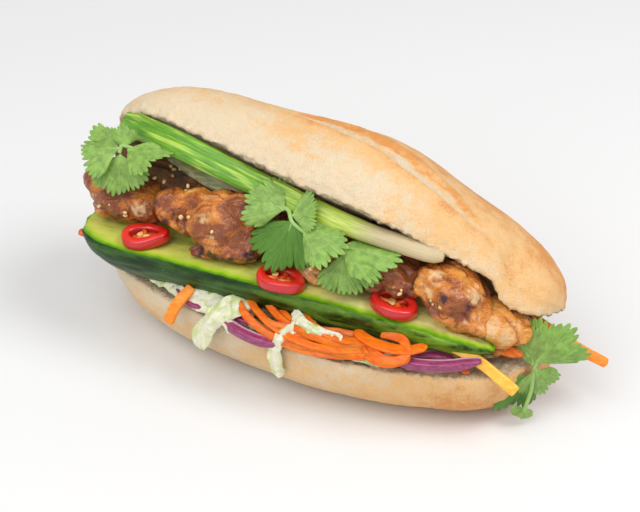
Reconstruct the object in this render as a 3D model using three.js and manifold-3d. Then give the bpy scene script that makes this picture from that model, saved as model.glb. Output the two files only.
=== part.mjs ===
// A banh mi sandwich: a short baguette roll slit along its front and hinged along its back,
// filled with a halved cucumber, grilled chicken, salad, spring onion, chilli and coriander.
// Millimetres. +X runs along the roll, -Y is the open front, +Z is up, and the roll stands on z = 0.
import * as THREE from 'three';
import { mergeVertices } from 'three/addons/utils/BufferGeometryUtils.js';
import Module from 'manifold-3d';

const wasm = await Module();
wasm.setup();

// ---------------------------------------------------------------- driving dimensions

const GAP = 0.45; // how far each piece is kept off the one it touches
const ROLL = 100; // half the length of the roll
const STATIONS = 20; // cross-sections along the bread

// Lower half of the roll. at: place along the roll, y: middle line, rim: height of the cut edge,
// low: where the rounded underside would reach, half: half width.
const BASE = [
  { at: -0.99, y: 8, rim: 26, low: 18, half: 1 },
  { at: -0.92, y: 6, rim: 28, low: 10, half: 14 },
  { at: -0.75, y: 3, rim: 30, low: 3, half: 26 },
  { at: -0.4, y: -1, rim: 31, low: -1, half: 36 },
  { at: 0.15, y: -4, rim: 30, low: -2, half: 41 },
  { at: 0.6, y: -4, rim: 30, low: -1, half: 36 },
  { at: 0.88, y: -3, rim: 29, low: 4, half: 24 },
  { at: 1.0, y: 0, rim: 24, low: 16, half: 1 },
];

// Upper half of the roll. y, z: middle of the cut face, open: how far it leans back from level in
// degrees, half: half width of the cut face, crown: height of the crust above it, drop: how far the
// front lip hangs down, or less than 0 where it is lifted.
const LID = [
  { at: -1.0, y: 20, z: 70, open: 56, half: 1, crown: 1, drop: 0 },
  { at: -0.93, y: 18, z: 70, open: 55, half: 15, crown: 13, drop: -2 },
  { at: -0.78, y: 17, z: 68.7, open: 54, half: 24, crown: 22, drop: -4.5 },
  { at: -0.6, y: 15.6, z: 66.7, open: 52.5, half: 31, crown: 29, drop: -3 },
  { at: 0.0, y: 10, z: 59.5, open: 41.5, half: 37, crown: 36, drop: -4.5 },
  { at: 0.25, y: 9, z: 57, open: 38, half: 37, crown: 37, drop: -5 },
  { at: 0.53, y: 8, z: 53.5, open: 35, half: 33, crown: 29, drop: -1.5 },
  { at: 0.77, y: 6.7, z: 48.5, open: 28, half: 24, crown: 23, drop: -2 },
  { at: 0.82, y: 6.3, z: 46.8, open: 26.4, half: 25.3, crown: 21.4, drop: 5.5 },
  { at: 0.93, y: 5.5, z: 43.3, open: 22.2, half: 20.7, crown: 17.2, drop: 3 },
  { at: 1.0, y: 5.5, z: 41, open: 20.8, half: 12.5, crown: 11, drop: 0 },
  { at: 1.03, y: 5.5, z: 40, open: 20, half: 1, crown: 1, drop: -2 },
];

const BASE_ROUNDNESS = 2.5; // exponent of the rounded outline: 2 is an ellipse, more is squarer
const LID_ROUNDNESS = 2.2;
const BASE_SIDES = 12; // facets round each part of a cross-section
const LID_SIDES = 14;
const CUT_SIDES = 4;
const CUT_DIP = 2; // how far the cut faces are pressed in
const DIP_WIDTH = 20; // half width from which on they are pressed in fully
// Uncut bread along the back.
const HINGE = { from: -0.8, to: 0.84, thickness: 9, inset: 8, overlap: 5, steps: 12, sides: 10 };
const THINNEST_END = 0.02; // square of how thin the hinge may get at its ends

// Halved cucumber, its cut face up. y, z: middle of the cut face, radius: of the cucumber.
const CUCUMBER = [
  { at: -97, y: -14, z: 49.5, radius: 3 },
  { at: -94, y: -15, z: 49.5, radius: 12 },
  { at: -80, y: -16, z: 49.5, radius: 18 },
  { at: -50, y: -16, z: 49.5, radius: 19.5 },
  { at: 10, y: -17, z: 49, radius: 20 },
  { at: 45, y: -18, z: 46, radius: 17 },
  { at: 72, y: -22, z: 42, radius: 10 },
  { at: 84, y: -27, z: 40.5, radius: 2 },
];
const CUCUMBER_TILT = 3; // degrees the cut face leans, front edge up
const CUCUMBER_STATIONS = 14; // cross-sections along it
const CUCUMBER_SIDES = 10; // facets round its skin
const CUCUMBER_CUT_SIDES = 4;

// Spring onion: a flattened stalk from its green leaf to its white bulb, and a dull inner leaf.
const SPRING_ONIONS = {
  spring_onion: {
    route: [
      [-88, 5, 86], [-57, -8, 88.6], [-29, -12, 83.5], [-1, -16, 79.1], [21, -18, 75.4], [42, -18, 72.2],
      [59, -18, 70.2],
    ],
    width: [4.8, 5.0, 4.9, 4.6, 4.3, 4.2, 3.6],
    flatness: 0.72,
  },
  spring_onion_leaf: {
    route: [[-66, 2, 77], [-50, -4, 75], [-36, -8, 72], [-22, -10, 68]],
    width: [3.2, 3.6, 3.4, 2.4],
    flatness: 0.35,
  },
};
const STALK = { steps: 12, sides: 7 };

// Grilled chicken. Each piece is a few rounded lobes: middle, half sizes, turn about X, Y, Z in degrees.
const CHICKEN = [
  [
    { at: [-82, -8, 59], size: [17, 14, 10], turn: [10, -8, 0] },
    { at: [-94, -5, 60], size: [9, 9, 8], turn: [0, 10, 0] },
  ],
  [
    { at: [-38, -19, 64], size: [20, 13, 12], turn: [-22, 10, 4] },
    { at: [-28, -22, 59], size: [15, 10, 9], turn: [-15, 5, 0] },
  ],
  [{ at: [-58, 6, 65], size: [19, 13, 10], turn: [-20, 4, 0] }],
  [{ at: [12, -12, 59], size: [13, 18, 10], turn: [-14, 8, 0] }],
  [{ at: [38, -11, 57], size: [12, 17, 9], turn: [-12, 8, 6] }],
  [
    { at: [62, -15, 55], size: [15, 16, 11], turn: [-16, 14, 0] },
    { at: [69, -17, 47], size: [13, 11, 10], turn: [0, 25, 0] },
  ],
  [{ at: [83, -12, 43], size: [13, 14, 7.5], turn: [-6, 18, -8] }],
  [{ at: [-14, -1, 60], size: [14, 16, 12], turn: [-15, 5, 0] }],
];
const LOBE_DETAIL = 2;
const LOBE_ROUGHNESS = 0.055; // depth of the uneven surface, as a part of each lobe's size

// Slices of chilli: middle, and turn about X, Y, Z in degrees.
const CHILLI = { across: 19.5, tall: 15, thickness: 4.8, wall: 4.2, roundness: 3, steps: 14, sides: 6 };
const CHILLI_RINGS = [
  { at: [-65.8, -25.1, 52.9], turn: [2, -6, 12] },
  { at: [-3, -31.5, 52.6], turn: [0, 3, 0] },
  { at: [42.6, -27, 50.2], turn: [2, 6, 0] },
];

// Coriander. Each leaflet: foot, the way it points, the way its face looks, and its length.
const LEAF = { thickness: 0.9, width: 0.56, lobes: 3, notch: 0.3, spread: 150, steps: 12 };
const STEM = { radius: 0.9, steps: 5, sides: 4 };
const CORIANDER = {
  coriander_left: {
    stems: [[[-70, -9, 81.5], [-75, -12, 84.5], [-79.5, -14, 86.5], [-80, -16, 84]]],
    leaflets: [
      { foot: [-80.5, -15, 85.5], to: [-1, -0.2, -0.15], face: [0.1, -0.5, 1], length: 18 },
      { foot: [-79, -14, 86], to: [-0.1, 0.3, 0.75], face: [0.3, -1, 0.5], length: 9 },
      { foot: [-79.5, -16, 83.5], to: [0.12, -0.5, -0.9], face: [0.1, -1, 0.6], length: 17.5 },
      { foot: [-77, -14, 85], to: [1, -0.1, 0.18], face: [0, -0.15, 1], length: 19 },
    ],
  },
  coriander_middle: {
    stems: [[[-11, -20, 78], [-4, -21.5, 79], [-1, -24, 75.5], [8, -26, 72]]],
    leaflets: [
      { foot: [-5.5, -21.5, 78.5], to: [-0.95, 0.1, 0.28], face: [0, -0.8, 1], length: 17 },
      { foot: [-1, -23.5, 76], to: [-0.22, -0.42, -0.9], face: [0, -1, 0.55], length: 22 },
      { foot: [-1.5, -22.5, 77.5], to: [0.75, 0.05, 0.4], face: [-0.2, -0.9, 0.8], length: 12 },
      { foot: [4, -25, 74], to: [0.95, -0.15, -0.05], face: [0, -0.5, 1], length: 19 },
    ],
  },
  coriander_right: {
    stems: [[[17, -26, 71.5], [21.5, -26, 68.5], [25, -25, 67.5]]],
    leaflets: [
      { foot: [21.5, -26, 68], to: [0.35, -0.5, -0.9], face: [0.1, -1, 0.6], length: 18 },
      { foot: [20.5, -25.5, 70.5], to: [1, 0.05, -0.05], face: [0.1, -0.1, 1], length: 22 },
    ],
  },
  coriander_end: {
    stems: [
      [
        [93, -4, 40.5], [98, -8.5, 39], [98.6, -13, 33], [97.4, -16, 26.5], [97.4, -18, 17.4],
        [96, -21, 8.6],
      ],
    ],
    leaflets: [
      { foot: [98, -15.4, 29.5], to: [0.56, 0.2, 0.8], face: [0.3, -0.9, 0.5], length: 22 },
      { foot: [96.6, -15.6, 28], to: [-0.12, 0.1, 0.95], face: [0.1, -1, 0.2], length: 15 },
      { foot: [97, -16.8, 24], to: [-0.5, -0.34, -0.8], face: [0.7, -0.8, 0], length: 20 },
      { foot: [98, -16.3, 27], to: [0.2, 0.05, -0.95], face: [0.7, -0.8, 0.2], length: 14 },
      { foot: [94.5, -15.5, 31.5], to: [-0.5, 0.05, 0.85], face: [0, -1, 0.3], length: 13 },
      { foot: [96.3, -20.6, 10.5], to: [-0.3, -0.1, -0.95], face: [0.5, -0.9, 0.1], length: 7 },
    ],
  },
};

// Strips: a route, and how wide and thick they are.
const STICKS = {
  carrot_stick_left: {
    route: [[-36, -30, 38], [-43, -36, 38], [-47, -41, 33.5], [-48.5, -41.5, 26]], width: 4.2, thick: 3.4,
  },
  carrot_stick_right: {
    route: [[66, -28, 38], [76, -29, 35.5], [86, -29.5, 30], [94.5, -30, 24.5]], width: 4.6, thick: 3.8,
  },
  carrot_stick_end: {
    route: [[82, 8, 35], [96, 6, 31], [109, 5, 25.5], [122, 4, 21.5]], width: 4.2, thick: 3.6,
  },
  carrot_loop: {
    route: [[34, -38, 37], [46, -44, 36], [53, -42, 38], [50, -36, 41], [40, -34, 40]],
    width: 3.6,
    thick: 2.6,
  },
  lettuce_strip_left: {
    route: [[-14, -34, 40], [-21, -39, 39.5], [-27, -44, 36], [-32, -44.5, 27], [-36, -43.5, 19]],
    width: 9,
    thick: 1.2,
  },
  lettuce_strip_middle: {
    route: [[14, -36, 38.5], [6, -42, 38.5], [1, -47, 33], [1, -47.5, 24], [2, -46, 16]],
    width: 5.5,
    thick: 1.2,
  },
  onion_slice_left: {
    route: [[-28, -36, 33.5], [-20, -43, 33], [-8, -46.5, 32.5], [2, -46, 32]], width: 5.5, thick: 2.2,
  },
  onion_slice_right: {
    route: [[46, -40, 34], [58, -40, 34.5], [70, -37, 35.5], [80, -31, 36.5]], width: 5.5, thick: 2.4,
  },
};
const STRIP_STEPS = 7;
const STRIP_FACE = [0, -0.75, 0.66]; // the way the wide side of a strip looks

// A bundle of carrot shreds: a route, and its radius along it.
const CARROT_BUNDLE = {
  route: [[-20, -33, 37], [-10, -39, 36.5], [4, -42.5, 35.8], [20, -43.5, 35.4], [34, -40, 36]],
  width: [3, 5, 5, 5, 3],
  steps: 9,
  sides: 7,
};

// Shredded salad lying on the cut face of the lower half.
const SALAD_BED = {
  from: -88, to: 88, inset: 7, height: 11, forward: 4,
  roughness: 0.12, thinnest: 0.05, seed: 3.1, steps: 10, sides: 10,
};

// ---------------------------------------------------------------- helpers

const radians = THREE.MathUtils.degToRad;
const vector = (point) => new THREE.Vector3(...point);

// A smooth value between the rows of a table that is sorted by its "at" column.
function between(table, key, at) {
  const last = table.length - 2;
  let row = table.findIndex((entry) => entry.at > at) - 1;
  row = row < 0 ? (at <= table[0].at ? 0 : last) : row;
  const before = table[Math.max(row - 1, 0)];
  const from = table[row];
  const to = table[row + 1];
  const after = table[Math.min(row + 2, last + 1)];
  const span = to.at - from.at;
  const part = THREE.MathUtils.clamp((at - from.at) / span, 0, 1);
  const slopeFrom = (to[key] - before[key]) / (to.at - before.at) * span;
  const slopeTo = (after[key] - from[key]) / (after.at - from.at) * span;
  const square = part * part;
  const cube = square * part;
  return (2 * cube - 3 * square + 1) * from[key] + (cube - 2 * square + part) * slopeFrom
    + (3 * square - 2 * cube) * to[key] + (cube - square) * slopeTo;
}

// Places along a table's range, closer together towards both ends.
function stations(table, count) {
  const first = table[0].at;
  const length = table[table.length - 1].at - first;
  const step = Math.PI / (count - 1);
  return Array.from({ length: count }, (_, i) => first + length * (1 - Math.cos(step * i)) / 2);
}

// One quarter-round value of a squared-off ellipse: sign(v) |v| ^ (2 / roundness).
const squared = (value, roundness) => Math.sign(value) * Math.abs(value) ** (2 / roundness);

// A closed body skinned over rings that all have as many points, with a fan over each end.
function skin(rings) {
  const count = rings[0].length;
  const points = rings.flat();
  const faces = [];
  for (let i = 0; i + 1 < rings.length; i += 1) {
    for (let j = 0; j < count; j += 1) {
      const a = i * count + j;
      const b = i * count + (j + 1) % count;
      faces.push(a, b, b + count, a, b + count, a + count);
    }
  }
  for (const end of [0, rings.length - 1]) {
    const sum = rings[end].reduce((total, point) => total.add(point), new THREE.Vector3());
    points.push(sum.divideScalar(count));
    for (let j = 0; j < count; j += 1) {
      const a = end * count + j;
      const b = end * count + (j + 1) % count;
      faces.push(...(end === 0 ? [points.length - 1, b, a] : [points.length - 1, a, b]));
    }
  }
  const geometry = new THREE.BufferGeometry().setFromPoints(points);
  geometry.setIndex(faces);
  return outward(geometry);
}

// Turns a closed body's faces round if they point inwards.
function outward(geometry) {
  const index = geometry.index.array;
  const corner = [0, 1, 2].map(() => new THREE.Vector3());
  let volume = 0;
  for (let i = 0; i < index.length; i += 3) {
    corner.forEach((point, k) => point.fromBufferAttribute(geometry.attributes.position, index[i + k]));
    volume += corner[0].dot(corner[1].clone().cross(corner[2]));
  }
  if (volume < 0) {
    for (let i = 0; i < index.length; i += 3) [index[i], index[i + 1]] = [index[i + 1], index[i]];
  }
  return geometry;
}

// three.js geometry to a manifold solid.
function toSolid(source) {
  const bare = source.clone();
  bare.deleteAttribute('normal');
  bare.deleteAttribute('uv');
  const merged = mergeVertices(bare, 1e-4);
  return new wasm.Manifold(new wasm.Mesh({
    numProp: 3,
    vertProperties: new Float32Array(merged.attributes.position.array),
    triVerts: new Uint32Array(merged.index.array),
  }));
}

// A manifold solid back to three.js geometry.
function toGeometry(solid) {
  const mesh = solid.getMesh();
  const geometry = new THREE.BufferGeometry();
  geometry.setAttribute('position', new THREE.BufferAttribute(new Float32Array(mesh.vertProperties), 3));
  geometry.setIndex(Array.from(mesh.triVerts));
  return geometry;
}

// The same body swollen by GAP along its corners' normals.
function swollen(solid) {
  const geometry = toGeometry(solid);
  geometry.computeVertexNormals();
  const { position, normal } = geometry.attributes;
  const point = new THREE.Vector3();
  const away = new THREE.Vector3();
  for (let i = 0; i < position.count; i += 1) {
    point.fromBufferAttribute(position, i).addScaledVector(away.fromBufferAttribute(normal, i), GAP);
    position.setXYZ(i, point.x, point.y, point.z);
  }
  return toSolid(geometry);
}

// The largest separate body of a solid.
function largest(solid) {
  return solid.decompose().reduce((best, body) => (body.volume() > best.volume() ? body : best));
}

// A round or flattened tube: an ellipse carried along a smooth route, its long axis kept level.
function tube(route, widths, flatness, steps, sides) {
  const curve = new THREE.CatmullRomCurve3(route.map(vector));
  const table = widths.map((value, i) => ({ at: i / (widths.length - 1), value }));
  const rings = Array.from({ length: steps + 1 }, (_, i) => {
    const along = i / steps;
    const centre = curve.getPoint(along);
    const ahead = curve.getTangent(along);
    const side = new THREE.Vector3(0, 0, 1).cross(ahead).normalize();
    const up = ahead.clone().cross(side).normalize();
    const width = between(table, 'value', along);
    return Array.from({ length: sides }, (__, j) => {
      const angle = 2 * Math.PI * j / sides;
      return centre.clone().addScaledVector(side, width * Math.cos(angle) * flatness)
        .addScaledVector(up, width * Math.sin(angle));
    });
  });
  return skin(rings);
}

// A flat strip: a rectangle carried along a smooth route, its wide side towards STRIP_FACE.
function strip({ route, width, thick }) {
  const curve = new THREE.CatmullRomCurve3(route.map(vector));
  const rings = Array.from({ length: STRIP_STEPS + 1 }, (_, i) => {
    const centre = curve.getPoint(i / STRIP_STEPS);
    const ahead = curve.getTangent(i / STRIP_STEPS);
    const look = vector(STRIP_FACE);
    const face = look.addScaledVector(ahead, -ahead.dot(look)).normalize();
    const side = ahead.clone().cross(face).normalize();
    return [[-1, -1], [1, -1], [1, 1], [-1, 1]].map(([across, through]) => centre.clone()
      .addScaledVector(side, across * width / 2).addScaledVector(face, through * thick / 2));
  });
  return skin(rings);
}

// ---------------------------------------------------------------- bread

// Lower half: a squared-off half ellipse, flat where it stands, under a slightly dished cut face.
function baseRing(at) {
  const [y, rim, low, half] = ['y', 'rim', 'low', 'half'].map((key) => between(BASE, key, at));
  const ring = [];
  for (let i = 0; i <= BASE_SIDES; i += 1) {
    const angle = Math.PI * i / BASE_SIDES;
    const across = -half * squared(Math.cos(angle), BASE_ROUNDNESS);
    const deep = (rim - low) * squared(Math.sin(angle), BASE_ROUNDNESS);
    ring.push(new THREE.Vector3(at * ROLL, y + across, Math.max(rim - deep, 0)));
  }
  for (let i = 1; i < CUT_SIDES; i += 1) {
    const across = 1 - 2 * i / CUT_SIDES;
    const dip = CUT_DIP * Math.min(half / DIP_WIDTH, 1) * (1 - across * across);
    ring.push(new THREE.Vector3(at * ROLL, y + half * across, rim - dip));
  }
  return ring;
}

// Upper half: the same kind of outline, leaning back on the hinge, its front lip hanging down by drop.
function lidRing(at) {
  const keys = ['y', 'z', 'open', 'half', 'crown', 'drop'];
  const [y, z, open, half, crown, drop] = keys.map((key) => between(LID, key, at));
  const forward = new THREE.Vector3(0, -Math.cos(radians(open)), Math.sin(radians(open)));
  const outwards = new THREE.Vector3(0, Math.sin(radians(open)), Math.cos(radians(open)));
  const middle = new THREE.Vector3(at * ROLL, y, z);
  const ring = [];
  for (let i = 0; i <= LID_SIDES; i += 1) {
    const angle = Math.PI * i / LID_SIDES;
    const across = squared(Math.cos(angle), LID_ROUNDNESS);
    ring.push(middle.clone().addScaledVector(forward, half * across)
      .addScaledVector(outwards, crown * squared(Math.sin(angle), LID_ROUNDNESS))
      .add(new THREE.Vector3(0, 0, -drop * Math.max(across, 0) ** 2)));
  }
  for (let i = 1; i < CUT_SIDES; i += 1) {
    const across = 2 * i / CUT_SIDES - 1;
    const dip = CUT_DIP * Math.min(half / DIP_WIDTH, 1) * (1 - across * across);
    ring.push(middle.clone().addScaledVector(forward, half * across).addScaledVector(outwards, dip)
      .add(new THREE.Vector3(0, 0, -drop * Math.max(across, 0) ** 2)));
  }
  return ring;
}

// Uncut bread along the back: an ellipse that reaches from the one back edge to the other.
function hingeRing(at) {
  const edge = (at - HINGE.from) * (HINGE.to - at) / ((HINGE.to - HINGE.from) / 2) ** 2;
  const ending = Math.sqrt(Math.max(edge, THINNEST_END));
  const open = radians(between(LID, 'open', at));
  const half = between(LID, 'half', at);
  const inside = half - HINGE.inset;
  const back = between(BASE, 'y', at) + between(BASE, 'half', at);
  const lower = new THREE.Vector3(at * ROLL, back - HINGE.inset, between(BASE, 'rim', at) - HINGE.overlap);
  const upper = new THREE.Vector3(at * ROLL, between(LID, 'y', at) + inside * Math.cos(open),
    between(LID, 'z', at) - inside * Math.sin(open) + HINGE.overlap);
  const middle = lower.clone().lerp(upper, 0.5);
  const tall = upper.clone().sub(lower);
  const reach = tall.length() / 2 + HINGE.overlap;
  tall.normalize();
  const through = new THREE.Vector3(0, tall.z, -tall.y);
  return Array.from({ length: HINGE.sides }, (_, j) => {
    const angle = 2 * Math.PI * j / HINGE.sides;
    return middle.clone().addScaledVector(tall, reach * ending * Math.cos(angle))
      .addScaledVector(through, HINGE.thickness * ending * Math.sin(angle));
  });
}

function breadRoll() {
  const lower = toSolid(skin(stations(BASE, STATIONS).map(baseRing)));
  const upper = toSolid(skin(stations(LID, STATIONS).map(lidRing)));
  const hingeEnds = [{ at: HINGE.from }, { at: HINGE.to }];
  const hinge = toSolid(skin(stations(hingeEnds, HINGE.steps).map(hingeRing)));
  return lower.add(hinge).add(upper);
}

// ---------------------------------------------------------------- fillings

// Half a cucumber: a half ellipse of skin under a flat cut face.
function cucumberRing(at) {
  const [y, z, radius] = ['y', 'z', 'radius'].map((key) => between(CUCUMBER, key, at));
  const lean = radians(CUCUMBER_TILT);
  const forward = new THREE.Vector3(0, -Math.cos(lean), Math.sin(lean));
  const down = new THREE.Vector3(0, -Math.sin(lean), -Math.cos(lean));
  const middle = new THREE.Vector3(at, y, z);
  const ring = [];
  for (let i = 0; i <= CUCUMBER_SIDES; i += 1) {
    const angle = Math.PI * i / CUCUMBER_SIDES;
    ring.push(middle.clone().addScaledVector(forward, radius * Math.cos(angle))
      .addScaledVector(down, radius * Math.sin(angle)));
  }
  for (let i = 1; i < CUCUMBER_CUT_SIDES; i += 1) {
    const across = 2 * i / CUCUMBER_CUT_SIDES - 1;
    ring.push(middle.clone().addScaledVector(forward, radius * across));
  }
  return ring;
}

// Slow waves that make a surface uneven.
function unevenness(point, seed) {
  return Math.sin(0.31 * point.x + 1.7 * seed) * Math.cos(0.27 * point.y + 0.9 * seed)
    + 0.7 * Math.sin(0.43 * point.z + 0.38 * point.y + 2.3 * seed)
    + 0.5 * Math.cos(0.55 * point.x - 0.5 * point.z + seed);
}

// One lobe of meat: a sphere stretched, turned and made uneven.
function lobe({ at, size, turn }, seed) {
  const ball = new THREE.IcosahedronGeometry(1, LOBE_DETAIL);
  const place = new THREE.Matrix4().compose(vector(at),
    new THREE.Quaternion().setFromEuler(new THREE.Euler(...turn.map(radians))), vector(size));
  ball.deleteAttribute('normal');
  ball.deleteAttribute('uv');
  const merged = mergeVertices(ball, 1e-4);
  const { position } = merged.attributes;
  const point = new THREE.Vector3();
  for (let i = 0; i < position.count; i += 1) {
    point.fromBufferAttribute(position, i);
    const world = point.clone().applyMatrix4(place);
    point.multiplyScalar(1 + LOBE_ROUGHNESS * unevenness(world, seed));
    position.setXYZ(i, ...point.applyMatrix4(place).toArray());
  }
  return toSolid(outward(merged));
}

const meat = (lobes, seed) => lobes.map((entry) => lobe(entry, seed)).reduce((sum, body) => sum.add(body));

// A slice of chilli: an oval ring with rounded edges.
function chilliRing({ at, turn }) {
  const { across, tall, thickness, wall, roundness, steps, sides } = CHILLI;
  const rings = Array.from({ length: steps }, (_, i) => {
    const angle = 2 * Math.PI * i / steps;
    const out = new THREE.Vector3(Math.cos(angle), Math.sin(angle), 0);
    const middle = new THREE.Vector3((across - wall) / 2 * out.x, (tall - wall) / 2 * out.y, 0);
    return Array.from({ length: sides }, (__, j) => {
      const round = 2 * Math.PI * (j + 0.5) / sides;
      return middle.clone().addScaledVector(out, wall / 2 * squared(Math.cos(round), roundness))
        .add(new THREE.Vector3(0, 0, thickness / 2 * squared(Math.sin(round), roundness)));
    });
  });
  const geometry = new THREE.BufferGeometry().setFromPoints(rings.flat());
  const faces = [];
  for (let i = 0; i < steps; i += 1) {
    for (let j = 0; j < sides; j += 1) {
      const [a, b] = [i * sides + j, i * sides + (j + 1) % sides];
      const next = (i + 1) % steps * sides;
      const [c, d] = [next + j, next + (j + 1) % sides];
      faces.push(a, d, b, a, c, d);
    }
  }
  geometry.setIndex(faces);
  const turned = new THREE.Quaternion().setFromEuler(new THREE.Euler(...turn.map(radians)));
  geometry.applyMatrix4(new THREE.Matrix4().compose(vector(at), turned, new THREE.Vector3(1, 1, 1)));
  return toSolid(outward(geometry));
}

// A coriander leaflet: a thin fan-shaped plate with three rounded lobes.
function leaflet({ foot, to, face, length }) {
  const outline = new THREE.Shape();
  outline.moveTo(0, 0);
  for (let i = 0; i <= LEAF.steps; i += 1) {
    const part = 2 * i / LEAF.steps - 1;
    const angle = radians(LEAF.spread) * part;
    const reach = length * (1 - LEAF.notch * (1 - Math.abs(Math.cos(LEAF.lobes / 2 * Math.PI * part))));
    outline.lineTo((length + reach * Math.cos(angle)) / 2, LEAF.width * reach * Math.sin(angle));
  }
  outline.closePath();
  const plate = new THREE.ExtrudeGeometry(outline, { depth: LEAF.thickness, bevelEnabled: false });
  const ahead = vector(to).normalize();
  const side = vector(face).normalize().cross(ahead).normalize();
  const up = ahead.clone().cross(side);
  plate.applyMatrix4(new THREE.Matrix4().makeBasis(ahead, side, up).setPosition(vector(foot)));
  return toSolid(plate);
}

function sprig({ stems, leaflets }) {
  const widths = [STEM.radius, STEM.radius];
  const stalks = stems.map((route) => toSolid(tube(route, widths, 1, STEM.steps, STEM.sides)));
  return [...stalks, ...leaflets.map(leaflet)].reduce((sum, body) => sum.add(body));
}

// Shredded salad: a low uneven heap over the cut face of the lower half.
function saladBed() {
  const { from, to, inset, height, forward, roughness, thinnest, seed, steps, sides } = SALAD_BED;
  const rings = Array.from({ length: steps + 1 }, (_, i) => {
    const x = from + (to - from) * i / steps;
    const [y, rim, half] = ['y', 'rim', 'half'].map((key) => between(BASE, key, x / ROLL));
    const reach = half - inset;
    const ends = Math.sqrt(Math.max(1 - Math.abs(2 * i / steps - 1) ** 4, thinnest));
    return Array.from({ length: sides }, (__, j) => {
      const angle = 2 * Math.PI * j / sides;
      const place = new THREE.Vector3(x, y + reach * Math.cos(angle), rim);
      const rough = 1 + roughness * unevenness(place, seed);
      const rise = Math.sin(angle) > 0 ? height * ends * rough : CUT_DIP / 2;
      return new THREE.Vector3(x, y - forward + reach * squared(Math.cos(angle), BASE_ROUNDNESS),
        rim + rise * squared(Math.sin(angle), BASE_ROUNDNESS));
    });
  });
  return toSolid(skin(rings));
}

// ---------------------------------------------------------------- assembly

const LOOKS = {
  bread: { color: 0xd9b07a, roughness: 0.8 },
  cucumber: { color: 0x4f7a35, roughness: 0.4 },
  spring_onion: { color: 0x6ea53a, roughness: 0.4 },
  chicken: { color: 0xb06a35, roughness: 0.35 },
  chilli: { color: 0xc4121a, roughness: 0.25 },
  coriander: { color: 0x4d8a35, roughness: 0.5 },
  carrot: { color: 0xf08020, roughness: 0.45 },
  lettuce: { color: 0xd3dea0, roughness: 0.5 },
  red_onion: { color: 0xa04a90, roughness: 0.4 },
};

const sandwich = new THREE.Group();
const placed = [];

// Adds one named piece, cut back from every piece already there.
function add(name, look, solid) {
  const box = solid.boundingBox();
  const near = placed.filter(({ bounds }) => [0, 1, 2].every(
    (k) => bounds.min[k] < box.max[k] && bounds.max[k] > box.min[k]));
  const body = largest(near.reduce((rest, other) => rest.subtract(other.swell), solid));
  const material = new THREE.MeshStandardMaterial({ ...LOOKS[look], metalness: 0 });
  const mesh = new THREE.Mesh(toGeometry(body), material);
  mesh.name = name;
  sandwich.add(mesh);
  const swell = swollen(body);
  placed.push({ swell, bounds: swell.boundingBox() });
}

add('bread_roll', 'bread', breadRoll());
add('cucumber_spear', 'cucumber', toSolid(skin(stations(CUCUMBER, CUCUMBER_STATIONS).map(cucumberRing))));
add('salad_bed', 'lettuce', saladBed());
const { route: bundleRoute, width: bundleWidth, steps: bundleSteps, sides: bundleSides } = CARROT_BUNDLE;
add('carrot_bundle', 'carrot', toSolid(tube(bundleRoute, bundleWidth, 1, bundleSteps, bundleSides)));
for (const [name, sizes] of Object.entries(STICKS)) {
  const look = { carrot: 'carrot', lettuce: 'lettuce', onion: 'red_onion' }[name.split('_')[0]];
  add(name, look, toSolid(strip(sizes)));
}
for (const [name, { route, width, flatness }] of Object.entries(SPRING_ONIONS)) {
  add(name, 'spring_onion', toSolid(tube(route, width, flatness, STALK.steps, STALK.sides)));
}
CHILLI_RINGS.forEach((ring, i) => add(`chilli_ring_${i + 1}`, 'chilli', chilliRing(ring)));
CHICKEN.forEach((lobes, i) => add(`chicken_${i + 1}`, 'chicken', meat(lobes, i + 1)));
for (const [name, parts] of Object.entries(CORIANDER)) add(name, 'coriander', sprig(parts));

export default sandwich;
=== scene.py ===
"""A banh mi sandwich: looks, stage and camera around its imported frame.

Laid out as an add-on and run as a script. Shapes are worked out in millimetres, and meshes are in metres.
+X runs along the roll, and -Y is its open front.
"""

import math

import bpy
import numpy as np
from bpy.props import FloatProperty, FloatVectorProperty, PointerProperty
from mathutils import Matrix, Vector


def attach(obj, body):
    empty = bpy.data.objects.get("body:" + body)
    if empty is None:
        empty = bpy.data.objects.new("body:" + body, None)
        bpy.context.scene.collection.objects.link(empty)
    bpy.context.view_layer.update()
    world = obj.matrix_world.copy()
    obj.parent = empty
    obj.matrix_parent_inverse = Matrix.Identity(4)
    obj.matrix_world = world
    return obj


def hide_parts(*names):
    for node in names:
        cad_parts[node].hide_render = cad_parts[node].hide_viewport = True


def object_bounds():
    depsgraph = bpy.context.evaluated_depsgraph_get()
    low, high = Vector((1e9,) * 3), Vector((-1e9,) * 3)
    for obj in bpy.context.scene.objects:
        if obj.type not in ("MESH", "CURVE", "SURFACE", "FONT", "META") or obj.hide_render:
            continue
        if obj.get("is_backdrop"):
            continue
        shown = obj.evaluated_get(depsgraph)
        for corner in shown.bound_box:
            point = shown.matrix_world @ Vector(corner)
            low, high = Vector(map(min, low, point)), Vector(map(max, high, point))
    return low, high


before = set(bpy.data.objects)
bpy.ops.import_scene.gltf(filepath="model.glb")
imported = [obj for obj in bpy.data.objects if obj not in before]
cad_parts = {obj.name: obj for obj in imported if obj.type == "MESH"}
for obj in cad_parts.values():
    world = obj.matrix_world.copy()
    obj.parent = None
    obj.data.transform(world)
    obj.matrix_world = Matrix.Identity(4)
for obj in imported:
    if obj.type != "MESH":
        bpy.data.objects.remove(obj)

bl_info = {
    "name": "Banh mi sandwich",
    "version": (1, 0, 0),
    "blender": (4, 5, 0),
    "location": "3D View > Sidebar > Banh mi",
    "description": "Builds a filled bread roll with grilled chicken, cucumber, salad and herbs",
    "category": "Add Mesh",
}

CAD_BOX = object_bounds()
MM = 0.001
BODY = "root"
ROLL = 100.0  # half the roll's length

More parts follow.
